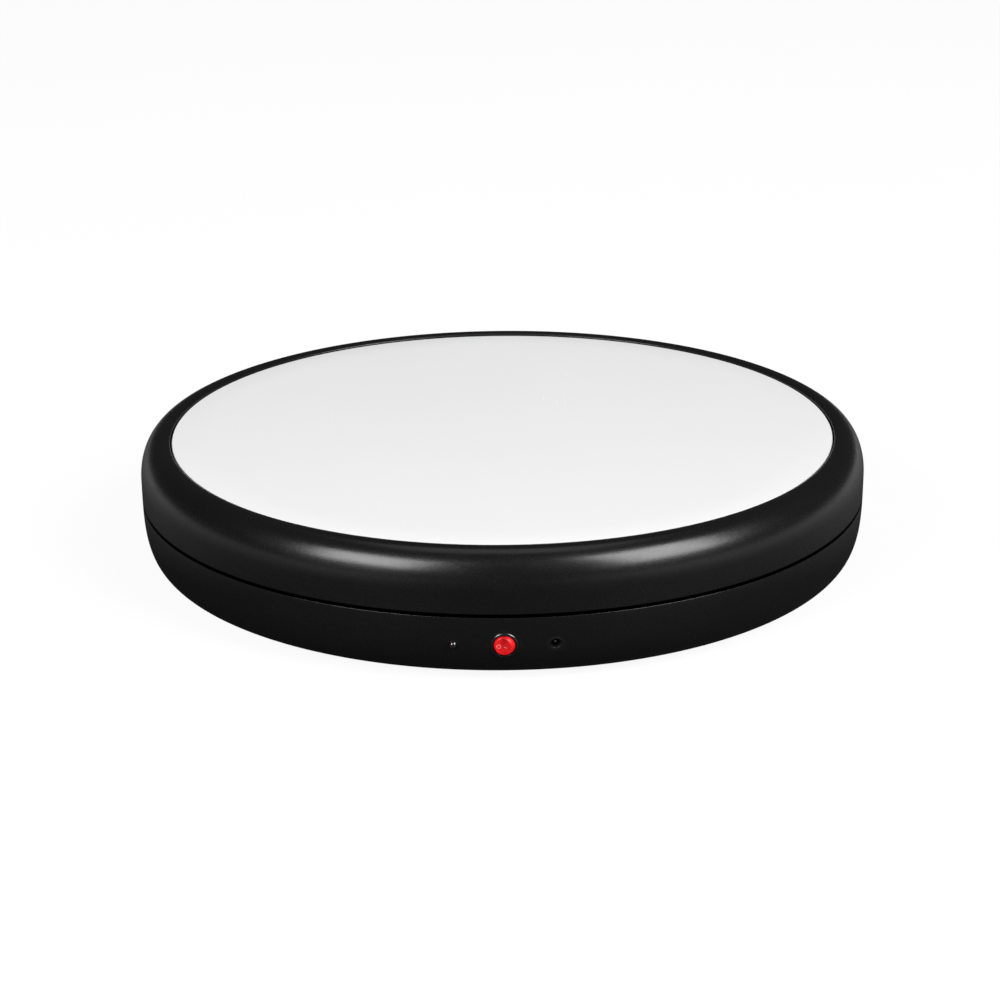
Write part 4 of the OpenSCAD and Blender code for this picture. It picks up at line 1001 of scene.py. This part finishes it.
# --------------------------------------------------------------------------
# floor, light and camera, in metres
# --------------------------------------------------------------------------
def floor_material():
    """Pale and even to the camera, much darker in reflections, clear from below."""
    mat = Mat("floor_pale")
    seen = mat.node("LightPath").outputs["Is Camera Ray"]
    pale = mat.mottle((0.80, 0.80, 0.80), (0.83, 0.83, 0.83), scale=0.8, detail=3.0)
    x = mat.split(mat.coords)[0]
    right = mat.span(x, over=(0.265, 0.75))
    left = mat.span(x, over=(-0.75, -0.265), to=(1.0, 0.0))
    glow = mat.math("ADD", mat.times(right, 0.6), mat.times(left, 0.5))
    reflected = mat.mix(glow, (0.03, 0.03, 0.031), (0.8, 0.8, 0.82))
    mat.set(Base_Color=mat.mix(seen, reflected, pale), Specular_IOR_Level=0.1)
    mat.rough_noise(to=(0.6, 0.75), scale=4.0, detail=3.0, seed=1.0)
    emission = mat.node("Emission", Color=(1, 1, 1), Strength=1.02)
    lit = mat.node("MixShader", mat.times(seen, 0.9), mat.shader.outputs[0], emission.outputs[0])
    toward = mat.split(mat.node("NewGeometry").outputs["Incoming"])
    from_below = mat.math("LESS_THAN", toward[2], 0.0)
    clear = mat.node("BsdfTransparent")
    both = mat.node("MixShader", from_below, lit.outputs[0], clear.outputs[0])
    mat.feed(mat.output.inputs[0], both.outputs[0])
    return mat.material


def build_floor():
    n, half, z = 48, 6.0, -0.0001
    verts = [((i / n - 0.5) * 2 * half, (j / n - 0.5) * 2 * half, z)
             for j in range(n + 1) for i in range(n + 1)]
    corners = [j * (n + 1) + i for j in range(n) for i in range(n)]
    faces = [(a, a + 1, a + n + 2, a + n + 1) for a in corners]
    floor = make_object("floor", verts, faces)
    floor.data.materials.append(floor_material())


def build_world():
    """White to the camera, nearly dark as a source of light."""
    world = bpy.data.worlds.new("studio")
    scene.world = world
    world.use_nodes = True
    nodes = Nodes(world.node_tree)
    dim = nodes.node("Background", Color=(0.038, 0.038, 0.040))
    white = nodes.node("Background", Color=(1, 1, 1))
    seen = nodes.node("LightPath").outputs["Is Camera Ray"]
    mixed = nodes.node("MixShader", seen, dim.outputs[0], white.outputs[0])
    nodes.node("OutputWorld", mixed.outputs[0])


# name, azimuth from the front toward +X and elevation (degrees), distance, two sides, watts
LIGHTS = (
    ("softbox_left", -43.5, 30.5, 6.9, 3.6, 3.2, 450),
    ("softbox_right", 53.6, 34.9, 6.9, 3.75, 4.3, 630),
    ("overhead", 180, 80, 2.6, 1.6, 1.6, 6),
)
LIGHT_AIM = (0, 0, 0.06)


def build_lights():
    for name, azimuth, elevation, distance, size_x, size_y, power in LIGHTS:
        a, e = math.radians(azimuth), math.radians(elevation)
        away = Vector((math.sin(a) * math.cos(e), -math.cos(a) * math.cos(e), math.sin(e)))
        light = bpy.data.lights.new(name, "AREA")
        light.shape, light.size, light.size_y = "RECTANGLE", size_x, size_y
        light.energy = power
        ob = bpy.data.objects.new(name, light)
        scene.collection.objects.link(ob)
        ob.location = Vector(LIGHT_AIM) + away * distance
        ob.rotation_mode = "QUATERNION"
        ob.rotation_quaternion = away.to_track_quat("Z", "Y")


SENSOR = 36.0
FOCAL_RATIO = 2.498635      # focal length in sensor widths
# degrees: looking down, roll about the view line, turn about Z
CAMERA_PITCH, CAMERA_ROLL, CAMERA_TURN = 19.982883, 0.5105, -0.03
# place before the turn, in rim radii from the centre of the base's underside
CAMERA_LEFT, CAMERA_UP, CAMERA_BACK = 0.0074437, 0.1015, 7.058235


def build_camera():
    camera = bpy.data.cameras.new("camera")
    camera.sensor_width = SENSOR
    camera.lens = SENSOR * FOCAL_RATIO
    camera.clip_start, camera.clip_end = 0.05, 50.0
    ob = bpy.data.objects.new("camera", camera)
    scene.collection.objects.link(ob)
    pitch, roll = math.radians(CAMERA_PITCH), math.radians(CAMERA_ROLL)
    right = Vector((1, 0, 0))
    up = Vector((0, math.sin(pitch), math.cos(pitch)))
    back = Vector((0, -math.cos(pitch), math.sin(pitch)))
    unit = RIM_R * MM
    place = (-right * (CAMERA_LEFT * unit) + up * (CAMERA_UP * unit)
             + back * (CAMERA_BACK * unit) + Vector((0, 0, FOOT_H * MM)))
    cosine, sine = math.cos(roll), math.sin(roll)
    axes = (right * cosine - up * sine, right * sine + up * cosine, back, place)
    rows = [tuple(axis[i] for axis in axes) for i in range(3)]
    ob.matrix_world = turn(CAMERA_TURN) @ Matrix((*rows, (0, 0, 0, 1)))
    scene.camera = ob


finish_frame()
build_rim()
build_base()
build_panel()
build_feet()
build_switch()
build_rocker()
build_marks()
build_socket()
build_dome()
build_floor()
build_world()
build_lights()
build_camera()
scene.view_settings.view_transform = "Standard"
scene.view_settings.look = "None"
scene.view_settings.exposure = 0.0
scene.view_settings.gamma = 1.0
